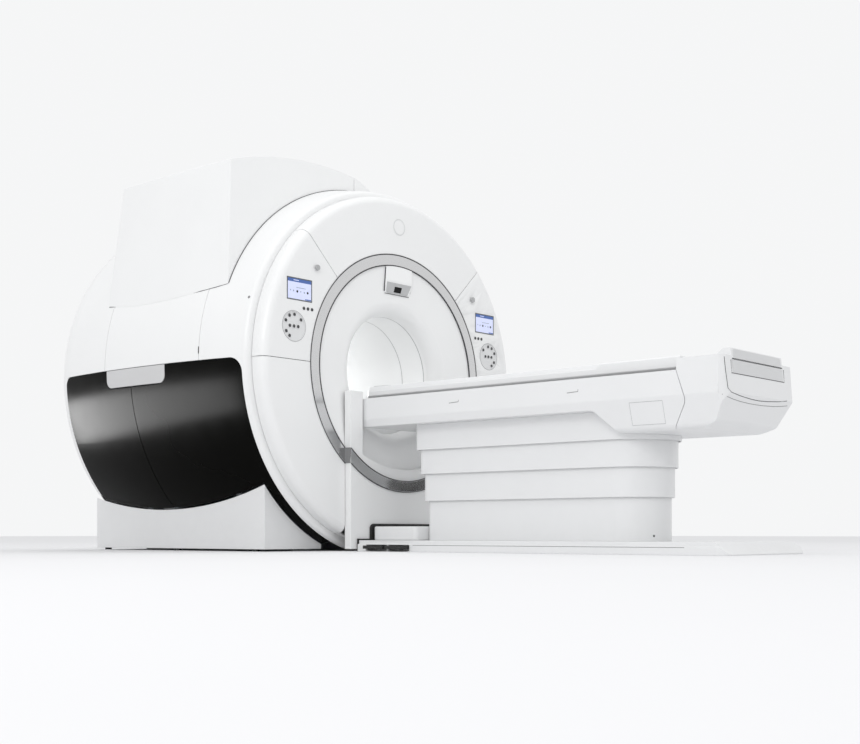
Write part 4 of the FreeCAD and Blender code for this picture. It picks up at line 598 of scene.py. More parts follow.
def front_covers():
    """Five covers of the face, cut from one turned form whose rim rolls back into the barrel."""
    edge = RING_OUT + 0.002
    inner = FRONT_RADIUS - FRONT_ROUND
    centre = (behind(FRONT_ROUND), inner)
    profile = [
        (behind(0), edge),
        *turn(centre, FRONT_ROUND, 180, 90, 12),
        (behind(RIM_DEPTH), FRONT_RADIUS),
        (behind(RIM_DEPTH), FRONT_RADIUS - WALL),
        *turn(centre, FRONT_ROUND - WALL, 90, 180, 8),
        (behind(WALL), edge),
    ]
    low, high = behind(-NEAR), behind(RIM_DEPTH + 0.01)
    slant = SEAM * math.sqrt(0.5)
    seam = SEAM_HEIGHT + SEAM / 2
    top = keep(ring("front_top", profile), prism("top_wedge", "front", [
        (0, ISO + slant), (FAR, ISO + slant + FAR), (-FAR, ISO + slant + FAR),
    ], low, high))
    cover(top, "front_cover_top")

    upper = keep(ring("front_upper_left", profile), prism("side_wedge", "front", [
        (ISO - seam - slant, seam), (-FAR, ISO - slant + FAR), (-FAR, seam),
    ], low, high))
    half_wide, half_tall = DISPLAY_WIDE / 2 + FIT, DISPLAY_TALL / 2 + FIT
    upper = cut(
        upper,
        block("display_space", (-DISPLAY_X - half_wide, -DISPLAY_X + half_wide), (low, high),
              (DISPLAY_Z - half_tall, DISPLAY_Z + half_tall)),
        disc_prism("dish_space", "front", (-DISH_X, DISH_Z), DISH_RADIUS + FIT, low, high, ROUND),
        disc_prism("button_space", "front", (-BUTTON_X, BUTTON_Z), BUTTON_HOLE, low, high),
        *[disc_prism("key_space", "front", (-KEY_ROW_X + KEY_PITCH * i, KEY_ROW_Z), KEY_HOLE,
                     low, high) for i in (-1, 0, 1)],
    )
    pair(upper, EDGE_UPPER, "cover_white", "front_cover_upper")

    lower = keep(ring("front_lower_left", profile), block(
        "lower_zone", (-FAR, -(FAIRING_HALF + SEAM)), (low, high),
        (FLOOR_GAP, SEAM_HEIGHT - SEAM / 2),
    ))
    pair(lower, EDGE_COVER, "cover_white", "front_cover_lower")


def mouth_ring():
    """Satin ring with small bevels, opened for the dock fairing, and its stepped lower piece."""
    bevel = RING_BEVEL

    def profile(front, back):
        return [
            (front, RING_IN + bevel), (front + bevel, RING_IN), (back, RING_IN),
            (back, RING_OUT), (front + bevel, RING_OUT), (front, RING_OUT - bevel),
        ]

    reach = FAIRING_HALF + FIT
    step = FAIRING_FORWARD + FIT
    edge = FAIRING_HALF + 2 * SEAM
    through = (behind(-NEAR), behind(NEAR))
    upper = cut(ring("mouth_ring", profile(behind(-RING_PROUD), behind(RING_DEPTH))), block(
        "dock_space", (-reach, reach), through, (0, FAIRING_TOP)
    ))
    dress(soften(upper, EDGE_RING), "ring_satin", "root", "mouth_ring_upper")
    # painted shade: the step's flank is given the dark line grey rather than the ring's satin
    flank = ring("ring_flank_left", [
        (ahead(FAIRING_FORWARD), RING_IN), (behind(RING_DEPTH / 2), RING_IN),
        (behind(RING_DEPTH / 2), RING_OUT), (ahead(FAIRING_FORWARD), RING_OUT),
    ])
    keep(flank, block("flank_zone", (-edge, -reach), through, (0, FAIRING_TOP)))
    pair(flank, EDGE_RING, "line_grey")
    lower = keep(ring("mouth_ring_step", profile(ahead(step + RING_STEP), ahead(step))), block(
        "over_dock", (-edge, edge), through, (0, ISO - RING_IN / 2)
    ))
    dress(soften(lower, EDGE_RING), "ring_satin", "root", "mouth_ring_lower")


def lip_arc(cone_y, rim_radius, cone, lip, side):
    """Centre of the rounding between a shallow cone and the bore, and the cone's lean."""
    rise = rim_radius - BORE
    slant = math.hypot(rise, cone)
    shift = (lip * slant - lip * cone) / rise
    return (cone_y + side * shift, BORE + lip), math.degrees(math.atan2(cone, rise))


def funnels():
    """Both mouths of the tunnel, shallow cones that roll over a lip, and the tube between."""
    wall = WALL - 0.001
    centre, lean = lip_arc(
        behind(FUNNEL_SET_BACK + FUNNEL_CONE), FUNNEL_RADIUS, FUNNEL_CONE, FUNNEL_LIP, 1
    )
    front = ring("tunnel_mouth", [
        (behind(FUNNEL_SET_BACK), FUNNEL_RADIUS),
        *turn(centre, FUNNEL_LIP, 180 + lean, 270, 20),
        (behind(FUNNEL_DEPTH), BORE),
        (behind(FUNNEL_DEPTH), BORE + wall),
        *turn(centre, FUNNEL_LIP - wall, 270, 180 + lean, 16),
        (behind(FUNNEL_SET_BACK + wall), FUNNEL_RADIUS),
    ])
    cover(front, "tunnel_funnel", EDGE_FUNNEL)

    centre, lean = lip_arc(
        behind(DEPTH - REAR_FUNNEL_CONE), REAR_FUNNEL_RADIUS, REAR_FUNNEL_CONE, REAR_FUNNEL_LIP, -1
    )
    back = behind(DEPTH - WALL - FIT)
    rear = ring("tunnel_rear", [
        (behind(REAR_FUNNEL_START), BORE),
        *turn(centre, REAR_FUNNEL_LIP, 270, 360 - lean, 16),
        (behind(DEPTH), REAR_FUNNEL_RADIUS),
        (back, REAR_FUNNEL_RADIUS),
        (back, REAR_FUNNEL_RADIUS + COLLAR),
        (back - WALL, REAR_FUNNEL_RADIUS + COLLAR),
        *turn(centre, REAR_FUNNEL_LIP - WALL, 360 - lean, 270, 12),
        (behind(REAR_FUNNEL_START), BORE + WALL),
    ])
    cover(rear, "rear_funnel", EDGE_FUNNEL)

    start, end = behind(FUNNEL_DEPTH + SEAM), behind(REAR_FUNNEL_START - SEAM)
    groove_start, groove_end = behind(TUBE_SEAM), behind(TUBE_SEAM + GROOVE_WIDE)
    tube = ring("patient_bore", [
        (start, BORE), (groove_start, BORE), (groove_start, BORE + GROOVE_DEEP),
        (groove_end, BORE + GROOVE_DEEP), (groove_end, BORE), (end, BORE),
        (end, BORE + WALL), (start, BORE + WALL),
    ])
    cover(tube, "patient_tube", EDGE_TRIM)


# ---------------------------------------------------------------- barrel

def front_shell():
    """Arch behind the face, with the bead that runs down in front of the black panels."""
    thick, step, run = 0.010, 0.004, 0.010
    lip_out = FRONT_RADIUS - WALL - FIT
    lip_in = lip_out - thick
    slope = (barrel(SHOULDER_END) - barrel(SHOULDER_END - run)) / run
    line = barrel(SHOULDER_END) - slope * (SHOULDER_END - SHELL_START)
    end = FRONT_SHELL_END - SEAM / 2
    profile = rounded([
        (behind(SHELL_START - LIP_REACH), lip_in),
        (behind(SHELL_START + thick), lip_in),
        (behind(SHELL_START + thick), line - SKIN - step),
        *[(y, r - SKIN) for y, r in crown(SHOULDER_END, end)],
        *reversed(crown(SHOULDER_END, end)),
        (behind(SHELL_START), line, SHOULDER_ROUND),
        (behind(SHELL_START), lip_out),
        (behind(SHELL_START - LIP_REACH), lip_out),
    ])
    bead = behind(SHELL_START + BEAD)
    before, past = behind(0.04), behind(end + 0.02)
    zone = prism("front_shell_zone", "side", rounded([
        (before, FLOOR_GAP), (bead, FLOOR_GAP), (bead, SEAM_HEIGHT, BLACK_CORNER),
        (past, SEAM_HEIGHT), (past, HIGH), (before, HIGH),
    ], 16), -FAR, FAR)
    cover(keep(ring("front_arch", profile), zone), "front_shell")


def skin(name, start, end):
    """A band of the crowned skin, as thick as the moulded covers."""
    outer = crown(start, end)
    return ring(name, [*outer, *[(y, r - SKIN) for y, r in reversed(outer)]])


def side_covers():
    """White upper shell, black lower panels and grey tabs, all parts of the same crowned band."""
    half = SEAM / 2
    start, end = FRONT_SHELL_END + half, SIDE_SHELL_END - half
    shell = keep(skin("upper_arch", start - 0.01, end + 0.01), prism("upper_zone", "side", [
        (behind(start), SEAM_HEIGHT), (behind(end), SEAM_HEIGHT),
        (behind(end), HIGH), (behind(start), HIGH),
    ], -FAR, FAR))
    cover(shell, "upper_shell")

    top = SEAM_HEIGHT - SEAM
    notch = SEAM_HEIGHT - TAB_HEIGHT
    band_start = SHELL_START + BEAD + half
    side = -(FAIRING_HALF + SEAM)

    def panels(name, slot, outline, nodes, plinth=True):
        band = skin(name + "_left", band_start - 0.005, BLACK_REAR + 0.003)
        panel = keep(band, prism("zone", "side", outline, -FAR, side))
        if plinth:
            cut(panel, block(
                "plinth_space", (-(PLINTH_HALF + SEAM), 0),
                (behind(PLINTH_START - SEAM), behind(PLINTH_END + SEAM)), (-NEAR, ISO),
            ))
        pair(panel, EDGE_PANEL, slot, nodes)

    panels("black_front", "panel_black", rounded([
        (behind(band_start), FLOOR_GAP),
        (behind(BLACK_SPLIT - half), FLOOR_GAP),
        (behind(BLACK_SPLIT - half), notch - SEAM),
        (behind(TAB_START - SEAM), notch - SEAM, TAB_CORNER + SEAM),
        (behind(TAB_START - SEAM), top),
        (behind(band_start), top, BLACK_CORNER),
    ], 16), "black_panel_front")
    panels("black_rear", "panel_black", rounded([
        (behind(BLACK_SPLIT + half), FLOOR_GAP),
        (behind(BLACK_REAR), FLOOR_GAP),
        (behind(BLACK_REAR), top, BLACK_REAR_CORNER),
        (behind(TAB_END + SEAM), top),
        (behind(TAB_END + SEAM), notch - SEAM, TAB_CORNER + SEAM),
        (behind(BLACK_SPLIT + half), notch - SEAM),
    ], 16), "black_panel_rear")
    panels("grey_tab", "tab_grey", rounded([
        (behind(TAB_START), notch, TAB_CORNER), (behind(TAB_END), notch, TAB_CORNER),
        (behind(TAB_END), top), (behind(TAB_START), top),
    ], 16), "latch_tab", plinth=False)


def rear_covers():
    """Rear shell that rolls in to the flat rear cover."""
    start = SIDE_SHELL_END + SEAM / 2
    edge = barrel(TAIL) - TAIL_DROP
    centre = (behind(DEPTH - TAIL_ROUND), edge - TAIL_ROUND)
    lip_face = DEPTH - WALL - FIT
    lip_deep, lip_in, step = 0.008, 0.018, 0.004
    profile = [
        *[(y, r - SKIN) for y, r in crown(start, TAIL)],
        *turn(centre, TAIL_ROUND - SKIN, 90, 0, 10),
        (behind(DEPTH - SKIN), REAR_RADIUS + SEAM + step),
        (behind(lip_face - lip_deep), REAR_RADIUS + SEAM + step),
        (behind(lip_face - lip_deep), REAR_RADIUS - lip_in),
        (behind(lip_face), REAR_RADIUS - lip_in),
        (behind(lip_face), REAR_RADIUS + SEAM),
        (behind(DEPTH), REAR_RADIUS + SEAM),
        *turn(centre, TAIL_ROUND, 0, 90, 12),
        *reversed(crown(start, TAIL)),
    ]
    bead = behind(BLACK_REAR + SEAM)
    past = behind(DEPTH + 0.02)
    zone = prism("rear_zone", "side", rounded([
        (bead, FLOOR_GAP), (past, FLOOR_GAP), (past, HIGH),
        (behind(start), HIGH), (behind(start), SEAM_HEIGHT), (bead, SEAM_HEIGHT, BLACK_REAR_CORNER),
    ], 12), -FAR, FAR)
    shell = keep(ring("rear_arch", profile), zone)
    reach = PLINTH_HALF + SEAM
    cut(shell, block(
        "plinth_space", (-reach, reach), (behind(PLINTH_START), behind(PLINTH_END + SEAM)),
        (-NEAR, SEAM_HEIGHT - 0.4),
    ))
    cover(shell, "rear_shell")
    past = behind(DEPTH + 0.05)
    disc = keep(ring("rear_disc", [
        (behind(DEPTH - WALL), REAR_FUNNEL_RADIUS + SEAM),
        (behind(DEPTH), REAR_FUNNEL_RADIUS + SEAM),
        (behind(DEPTH), REAR_RADIUS), (behind(DEPTH - WALL), REAR_RADIUS),
    ]), block("above_floor", (-FAR, FAR), (behind(DEPTH - 0.05), past), (FLOOR_GAP, HIGH)))
    cover(disc, "rear_cover")


# ---------------------------------------------------------------- pieces taken over from the frame

SOFT_NODES = (
    # node, slot, body, edge radius
    ("dock_fairing", "cover_white", "root", 0.0026),
    ("camera_hood", "cover_white", "root", 0.003),
    ("top_housing", "cover_white", "root", 0.003),
    ("top_housing_end", "cover_white", "root", 0.004),
    ("plinth_left", "plinth_grey", "root", 0.003),
    ("plinth_right", "plinth_grey", "root", 0.003),
    ("bore_bridge", "cover_white", "root", 0.002),
    ("floor_plate", "table_white", "root", 0.002),
    ("dock_bridge", "table_white", "root", 0.008),
    ("dock_seal", "seal_rubber", "root", 0.003),
    ("column_base_cover", "table_white", "root", 0.0015),
    ("column_cover_lower", "table_white", "column_lower", 0.0015),
    ("column_cover_middle", "table_white", "column_upper", 0.0015),
    ("column_cover_top", "table_white", "table", 0.0015),
    ("table_cover_left", "table_white", "table", 0.0022),
    ("table_cover_right", "table_white", "table", 0.0022),
    ("table_end_cap", "table_white", "table", 0.0012),
    ("end_handle", "handle_grey", "end_handle", 0.0016),
    ("cradle", "cradle_board", "cradle", 0.003),
    ("port_cover", "port_grey", "cradle", 0.0015),
    ("pedal_up", "pedal_black", "pedal_up", 0.002),
    ("pedal_down", "pedal_black", "pedal_down", 0.002),
)


def taken_over():
    """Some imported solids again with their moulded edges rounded, and the others as they are."""
    for node, slot, body, width in SOFT_NODES:
        piece = copied("soft_" + node, frame["nodes"][node])
        dress(soften(piece, width, 3), slot, body, node)
    replaced = {node for node, *_ in SOFT_NODES}
    for part in frame["record"]["subparts"]:
        name = part["node"]
        if name not in replaced:
            mesh = frame["nodes"][name].data
            mesh.materials.clear()
            mesh.materials.append(materials[part["material_slot"]])


# ---------------------------------------------------------------- small details

def badge():
    """Blank round badge at the top of the face."""
    def disc(name, radius, low, high):
        return disc_prism(name, "front", BADGE_AT, radius, behind(low), behind(high), ROUND)

    rim = cut(disc("badge_rim", BADGE_RIM, -0.0022, 0.002),
              disc("badge_hollow", BADGE_HOLLOW, -0.01, -0.0008))
    dress(soften(rim, EDGE_RING), "port_grey")
    dress(soften(disc("badge_disc", BADGE_DISC, -0.0016, 0.001), EDGE_TRIM), "cover_white")


def laid_line(name, path, wide, slot, body="root", proud=0.0008, closed=False):
    """A thin bead along (place, normal) pairs of a surface, half sunk in it."""
    points, faces = [], []
    count = len(path)
    for i, (place, normal) in enumerate(path):
        here, up = Vector(place), Vector(normal).normalized()
        before = Vector(path[i - 1][0]) if i or closed else here
        after = Vector(path[(i + 1) % count][0]) if i < count - 1 or closed else here
        side = (after - before).cross(up).normalized() * wide / 2
        for across, level in ((-1, -SUNK), (1, -SUNK), (1, proud), (-1, proud)):
            points.append(tuple(here + side * across + up * level))
    for i in range(count if closed else count - 1):
        a, b = 4 * i, 4 * ((i + 1) % count)
        faces += [(a + j, a + (j + 1) % 4, b + (j + 1) % 4, b + j) for j in range(4)]
    if not closed:
        faces += [(0, 1, 2, 3), tuple(range(4 * count - 1, 4 * count - 5, -1))]
    return dress(from_lists(name, points, faces), slot, body)


def lean_by(obj, slope, height):
    """Shear a piece back with its height, about the given one."""
    for vert in obj.data.vertices:
        vert.co.y += slope * (vert.co.z - height)


def opposite(path):
    """The path on the other side."""
    return [((-x, y, z), (-a, b, c)) for (x, y, z), (a, b, c) in path]


def twin_lines(name, path, wide, slot, body="root", **more):
    """The same bead on the left and the right side."""
    laid_line(name + "_left", path, wide, slot, body, **more)
    laid_line(name + "_right", opposite(path), wide, slot, body, **more)


def stud(name, place, normal, radius, slot, body="root"):
    """A small round plug that stands a hair proud of a surface."""
    piece = disc_prism(name, "plan", (0, 0), radius, -0.002, 0.0006, 24)
    lean = Vector(normal).to_track_quat("Z", "Y").to_matrix().to_4x4()
    piece.data.transform(Matrix.Translation(Vector(place)) @ lean)
    return dress(soften(piece, EDGE_FINE), slot, body)


def ring_gaskets():
    """Dark rubber beads at both edges of the satin ring."""
    reach = FAIRING_HALF + SEAM
    step = FAIRING_FORWARD + FIT
    through = (behind(-NEAR), behind(NEAR))
    for name, edge, out in (("gasket_outer", RING_OUT, 1), ("gasket_inner", RING_IN, -1)):
        bead = cut(ring(name, [(behind(d), edge + r * out) for d, r in GASKET]), block(
            "dock_space", (-reach, reach), through, (0, FAIRING_TOP)
        ))
        dress(soften(bead, EDGE_FINE), "line_dark")
        profile = [(ahead(step + d), edge + r * out) for d, r in GASKET_STEP]
        low = keep(ring(name + "_step", profile), block(
            "over_dock", (-FAIRING_HALF, FAIRING_HALF), through, (0, ISO - RING_IN / 2)
        ))
        dress(soften(low, EDGE_FINE), "line_dark")


def bore_lines():
    """Grey seals in the seams of the tunnel's lining."""
    inner, outer = BORE - 0.0005, BORE + 0.003
    for name, distance, wide in (
        ("bore_seal_mouth", FUNNEL_DEPTH + SEAM / 2, 0.0050),
        ("bore_seal_tube", TUBE_SEAM + GROOVE_WIDE / 2, 0.0040),
        ("bore_seal_rear", REAR_FUNNEL_START - SEAM / 2, 0.0040),
    ):
        low, high = behind(distance - wide / 2), behind(distance + wide / 2)
        seal = ring(name, [(low, inner), (high, inner), (high, outer), (low, outer)])
        dress(soften(seal, 0), "line_pale")


def keypads():
    """Dark rubber faces on the flat keys of dishes and rows, and the fine line round each dish."""
    row = (-KEY_PITCH, 0.0, KEY_PITCH)
    angles = [math.radians(angle) for angle in KEY_ANGLES]
    in_dish = (behind(-0.0008), behind(0.0008))
    in_row = (ahead(0.0020), ahead(0.0001))
    keys = [(DISH_X - across, DISH_Z, in_dish) for across in row]
    keys += [(DISH_X - KEY_RING * math.cos(angle), DISH_Z + KEY_RING * math.sin(angle), in_dish)
             for angle in angles]
    keys += [(KEY_ROW_X - across, KEY_ROW_Z, in_row) for across in row]
    for side, name in ((-1, "left"), (1, "right")):
        for number, (x, z, levels) in enumerate(keys):
            face = disc_prism("key_%s_%d" % (name, number), "front", (side * x, z),
                              KEY_FACE, *levels, SMALL_ROUND)
            dress(soften(face, EDGE_KEY), "key_face")
        centre = (side * DISH_X, DISH_Z)
        rim = disc_prism("dish_line_" + name, "front", centre, DISH_RADIUS + DISH_LINE_OUT,
                         behind(-0.0008), behind(0.0004), ROUND)
        cut(rim, disc_prism("dish_clear", "front", centre, DISH_RADIUS - DISH_LINE_IN,
                            behind(-0.01), behind(0.01), ROUND))
        dress(soften(rim, EDGE_HAIR), "line_pale")


def seam_shade_strips():
    """Black strips behind the seams of the face, which make them read as dark lines: painted shade
    for the dark inside the gaps, in the seal rubber material.
    """
    low, high = behind(WALL + 0.0004), behind(WALL + 0.0040)
    inner, outer, half = SEAM_SHADE_INNER, FRONT_RADIUS - FRONT_ROUND - 0.010, SEAM_SHADE_HALF
    for side, name in ((-1, "left"), (1, "right")):
        # the black of these strips is painted shade, standing for the dark inside the seams
        level = block("seam_shade_level_" + name, sorted((side * inner, side * outer)), (low, high),
                      (SEAM_HEIGHT - half, SEAM_HEIGHT + half))
        dress(level, "seal_rubber")
        slant = math.sqrt(0.5)
        corners = [(side * (r * slant + half * a * slant), ISO + r * slant - half * a * slant)
                   for r, a in ((inner, 1), (outer, 1), (outer, -1), (inner, -1))]
        dress(prism("seam_shade_slant_" + name, "front", corners, low, high), "seal_rubber")


def housing_shadow_lines():
    """Dark beads of painted shadow where the top housing meets the barrel, along its front foot and
    its left foot.
    """
    radius = barrel(HOUSING_FRONT - FACE) + 0.0005
    first, last = HOUSING_ARC
    wide, proud = 0.004, 0.0015
    arc = []
    for step in range(HOUSING_STEPS + 1):
        angle = math.radians(first + (last - first) * step / HOUSING_STEPS)
        x, z = math.sin(angle), math.cos(angle)
        arc.append(((radius * x, HOUSING_FRONT - 0.002, ISO + radius * z), (x, 0.0, z)))
    laid_line("housing_shadow_front", arc, wide, "line_dark", proud=proud)
    foot = []
    for y, z in HOUSING_FOOT:
        x = -math.sqrt(barrel(y - FACE) ** 2 - (z - ISO) ** 2)
        foot.append(((x, y, z), (x, 0.0, z - ISO)))
    laid_line("housing_foot_left", foot, wide, "line_dark", proud=proud)


def table_lines():
    """Seams and latches of the table's covers, its flap and panel, a grey pad of painted shade on
    the hump's face, a plug and the plate.
    """
    down = (0.0, -0.88, -0.47)

    def across_end(name, half, middle, wide, slot):
        """A bead whose left half is given, carried over to the right."""
        laid_line(name, half + [(middle, down)] + opposite(reversed(half)), wide, slot, "table")

    across_end("end_panel_line", [
        ((-0.3110, -3.3091, 0.918), (-0.55, -0.83, 0)),
        ((-0.3058, -3.3127, 0.8587), (-0.53, -0.85, 0)),
        ((-0.2935, -3.3188, 0.7736), (-0.38, -0.92, 0)),
        ((-0.2716, -3.3246, 0.7556), (-0.13, -0.99, 0)),
        ((-0.1866, -3.3217, 0.7459), down), ((-0.0707, -3.3177, 0.7383), down),
    ], (0.0, -3.3168, 0.7366), 0.003, "line_dark")
    across_end("end_bead_line", [
        ((-0.3195, -3.3028, 0.7444), (-0.67, -0.74, 0)), ((-0.2953, -3.3156, 0.7344), down),
        ((-0.2344, -3.3118, 0.7274), down), ((-0.1637, -3.3088, 0.7218), down),
        ((-0.0646, -3.3069, 0.7181), down),
    ], (0.0, -3.3066, 0.7178), 0.0025, "line_grey")

    out = (0.0, -1.0, 0.07)
    laid_line("flap_line", [
        ((-0.2580, -3.3135, 0.9080), out), ((-0.2580, -3.3180, 0.8470), out),
        ((0.2580, -3.3180, 0.8470), out), ((0.2580, -3.3135, 0.9080), out),
    ], 0.0035, "line_dark", "table")
    laid_line("flap_top_line", [
        ((-0.2450, -3.3125, 0.9168), out), ((0.2450, -3.3125, 0.9168), out),
    ], 0.003, "line_dark", "table")
    # painted shade: the hump's face is greyed by a thin pad
    pad = prism("hump_shade_pad", "front", rounded([
        (-0.236, 0.9200), (0.236, 0.9200), (0.229, 0.9625, 0.012), (-0.229, 0.9625, 0.012),
    ]), -3.3113, -3.3070)
    lean_by(pad, 0.111, 0.9423)
    dress(soften(pad, EDGE_TRIM), "handle_grey", "table")

    for name, start in (("front", -1.6264), ("rear", -2.4231)):
        twin_lines("side_latch_" + name, [
            ((-0.3325, start, 0.8080), (-1, 0, 0)), ((-0.3325, start - 0.068, 0.8110), (-1, 0, 0)),
            ((-0.3325, start - 0.068, 0.8215), (-1, 0, 0)),
        ], 0.003, "line_grey", "table")

    lean = (TABLE_CREASE_HALF - TABLE_FOOT_HALF) / (TABLE_CREASE_Z - POD_BOTTOM)
    corners = []
    for y, z in ((-2.794, 0.735), (-2.794, 0.627), (-2.983, 0.627), (-2.983, 0.735)):
        x = -(TABLE_CREASE_HALF - lean * (TABLE_CREASE_Z - z))
        corners.append(((x, y, z), (-1, 0, -lean)))
    twin_lines("side_panel", corners, 0.0022, "line_pale", "table", closed=True)
    stud("base_plug", (-0.0813, -2.778, 0.0887), (-0.42, -0.91, 0), 0.006, "line_dark")
    twin_lines("plate_line", [
        ((-0.4, -1.42, 0.036), (-1, 0, 0)), ((-0.4, -3.15, 0.036), (-1, 0, 0)),
    ], 0.0025, "line_grey", proud=0.0004)


def magnet_marks():
    """Painted shade on the camera hood's chin, painted shadow lines beside and under the hood,
    plugs of the front shell and slots in its rear seam.
    """
    chin = prism("hood_shade_plate", "front", rounded([
        (-0.103, 1.5870), (-0.090, 1.5275, 0.012), (0.090, 1.5275, 0.012), (0.103, 1.5870),
    ]), -0.9243, -0.9190)
    cut(chin, block("window_space", (-0.0305, 0.0305), (-0.95, -0.90), (1.5345, 1.5700)))
    lean_by(chin, -0.384, 1.5642)
    dress(soften(chin, EDGE_TRIM), "chin_grey")
    # painted shadow: dark lines along the hood's sides and under its lower edge
    laid_line("hood_line_left", [
        ((-0.1104, -0.9275, 1.672), (-1, 0, 0)), ((-0.1104, -0.9150, 1.532), (-1, 0, 0)),
    ], 0.007, "line_dark")
    laid_line("hood_line_right", [
        ((0.1125, -0.9245, 1.662), (0, -1, -0.1)), ((0.1125, -0.9125, 1.545), (0, -1, -0.1)),
    ], 0.003, "line_dark")
    laid_line("hood_shadow_low", [
        ((-0.102, -0.9105, 1.5222), (0, -1, 0)), ((0.102, -0.9105, 1.5222), (0, -1, 0)),
    ], 0.0035, "line_dark")
    for side, name in ((-1, "left"), (1, "right")):
        stud("shell_plug_" + name, (side * 1.0381, -0.8055, 1.3812),
             (side * 0.93, -0.19, 0.30), 0.008, "line_grey")
    twin_lines("seam_slot", [
        ((-1.1414, -0.5, 1.092), (-0.99, -0.14, 0.04)),
        ((-1.1402, -0.5, 1.130), (-0.99, -0.14, 0.07)),
    ], 0.006, "line_dark")


SCREEN_MARKS = (
    # beside the middle, up, width, height, slot
    (-0.025, 0.0475, 0.040, 0.004, "screen_lit"), (0.010, 0.0080, 0.070, 0.003, "screen_faint"),
    (-0.066, -0.0100, 0.006, 0.008, "screen_faint"),
    (-0.044, -0.0120, 0.007, 0.010, "screen_faint"),
    (0.008, -0.0120, 0.008, 0.006, "screen_faint"), (0.034, -0.0140, 0.008, 0.010, "screen_faint"),
    (-0.017, -0.0130, 0.013, 0.013, "screen_mark"), (0.0585, -0.0130, 0.013, 0.013, "screen_mark"),
    (0.062, -0.0515, 0.044, 0.006, "screen_bar"),
)


def screens():
    """Lit screen in each display's recess, with a head bar and a few plain marks."""
    front = behind(0.0)
    half_wide, half_tall = DISPLAY_WIDE / 2 - SCREEN_MARGIN, DISPLAY_TALL / 2 - SCREEN_MARGIN
    low, high = DISPLAY_Z - half_tall, DISPLAY_Z + half_tall
    for side, name in ((-1, "left"), (1, "right")):
        x = side * DISPLAY_X
        across = (x - half_wide, x + half_wide)
        glass = block("screen_" + name, across, (front - 0.0004, front + 0.0009), (low, high))
        dress(soften(glass, EDGE_FINE), "screen_lit")
        bar = block("screen_bar_" + name, across, (front - 0.0006, front), (high - HEAD_BAR, high))
        dress(soften(bar, EDGE_HAIR), "screen_bar")
        for number, (beside, up, wide, tall, slot) in enumerate(SCREEN_MARKS):
            corner = min(wide, tall) * 0.45
            mark = prism("screen_mark_%s_%d" % (name, number), "front", rounded([
                (x + beside + u * wide / 2, DISPLAY_Z + up + v * tall / 2, corner)
                for u, v in ((-1, -1), (1, -1), (1, 1), (-1, 1))
            ], 4), front - 0.0009, front)
            dress(mark, slot)


# ---------------------------------------------------------------- studio

def soft_light(name, place, aim, wide, tall, power):
    """A rectangular lamp that no camera sees."""
    data = bpy.data.lights.new(name, "AREA")
    data.shape = "RECTANGLE"
    data.size, data.size_y = wide, tall
    data.energy = power
    lamp = bpy.data.objects.new(name, data)
    bpy.context.scene.collection.objects.link(lamp)
    lamp.location = place
    lamp.rotation_euler = (Vector(aim) - Vector(place)).to_track_quat("-Z", "Y").to_euler()
    lamp.visible_camera = False
    return lamp


def lit_by(lamp, name, *parts):
    """The lamp lights only the pieces whose names hold one of the words."""
    pieces = bpy.data.collections.new(name)
    for obj in bpy.context.scene.objects:
        if any(part in obj.name for part in parts):
            pieces.objects.link(obj)
    lamp.light_linking.receiver_collection = pieces


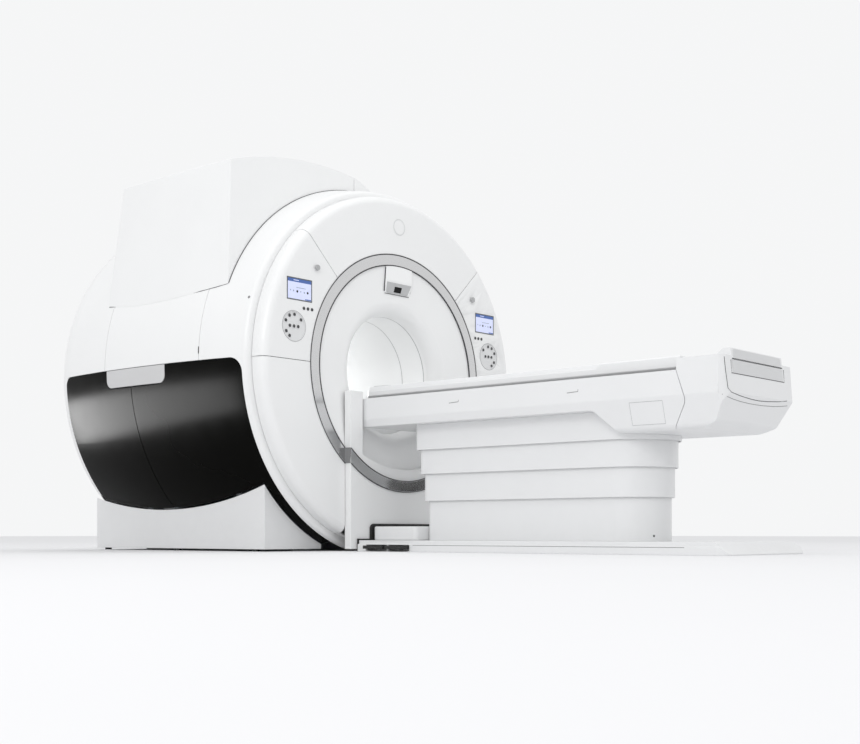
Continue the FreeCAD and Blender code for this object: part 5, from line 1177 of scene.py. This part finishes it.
def studio():
    """Floor, bright room, card and lamps."""
    floor = link("studio_floor", bpy.data.meshes.new("studio_floor"))
    form = bmesh.new()
    bmesh.ops.create_grid(form, x_segments=2, y_segments=2, size=FLOOR_HALF)
    form.to_mesh(floor.data)
    form.free()
    floor.data.materials.append(surface(
        "studio_floor", (0.82, 0.82, 0.83), 0.60, tint=0.01, patch=4.0, grain=0.02, specular=0.0,
    ))

    world = bpy.data.worlds.new("studio")
    world.use_nodes = True
    bpy.context.scene.world = world
    tree = world.node_tree
    back = tree.nodes["Background"]
    back.inputs["Color"].default_value = ROOM
    # the room is bright behind, above and to the left of the machine, and dimmer before it
    place = tree.nodes.new("ShaderNodeTexCoord")
    toward = tree.nodes.new("ShaderNodeVectorMath")
    toward.operation = "DOT_PRODUCT"
    toward.inputs[1].default_value = BRIGHT_WAY
    node_link(tree, place, "Generated", toward, 0)
    level = tree.nodes.new("ShaderNodeMapRange")
    level.interpolation_type = "SMOOTHSTEP"
    level.inputs["From Min"].default_value = DIM_FROM
    level.inputs["From Max"].default_value = BRIGHT_FROM
    level.inputs["To Min"].default_value = ROOM_DIM
    level.inputs["To Max"].default_value = ROOM_BRIGHT
    node_link(tree, toward, "Value", level, "Value")
    node_link(tree, level, "Result", back, "Strength")

    # a dark card low before the machine, which no camera sees, gives the satin ring its shading
    card = link("studio_card", bpy.data.meshes.new("studio_card"))
    form = bmesh.new()
    form.faces.new([form.verts.new(corner) for corner in (
        (-CARD_HALF, CARD_Y, CARD_LOW), (CARD_HALF, CARD_Y, CARD_LOW),
        (CARD_HALF, CARD_Y, CARD_TOP), (-CARD_HALF, CARD_Y, CARD_TOP),
    )])
    form.to_mesh(card.data)
    form.free()
    card.data.materials.append(surface(
        "studio_card", (0.03, 0.03, 0.03), 0.9, tint=0.01, patch=2.0, grain=0.02,
    ))
    card.visible_camera = card.visible_shadow = card.visible_diffuse = False

    soft_light("key", *KEY_LAMP)
    soft_light("overhead", *OVERHEAD_LAMP)
    tunnel = soft_light("bore", *BORE_LAMP)
    lit_by(tunnel, "lit_tunnel", "tunnel_mouth", "bore", "cradle", "hood")
    # a low strip on each side that only the gloss of the black panels shows
    for side in (-1, 1):
        place, aim = ((side * x, y, z) for x, y, z in (STRIP_AT, STRIP_AIM))
        strip = soft_light("strip", place, aim, *STRIP_LAMP)
        strip.visible_diffuse = False
        lit_by(strip, "lit_panels", "black_front", "black_rear")


def camera():
    """Low camera at the photograph's place, lens and framing."""
    bpy.context.scene.view_settings.view_transform = "Standard"
    data = bpy.data.cameras.new("photo_camera")
    data.sensor_width = SENSOR
    data.lens = LENS
    data.shift_x, data.shift_y = LENS_SHIFT
    eye = bpy.data.objects.new("photo_camera", data)
    bpy.context.scene.collection.objects.link(eye)
    eye.location = EYE
    eye.rotation_euler = (math.radians(90), 0, math.radians(HEADING))
    bpy.context.scene.camera = eye


front_covers()
mouth_ring()
funnels()
front_shell()
side_covers()
rear_covers()
taken_over()
badge()
ring_gaskets()
bore_lines()
keypads()
seam_shade_strips()
housing_shadow_lines()
table_lines()
magnet_marks()
screens()
studio()
camera()
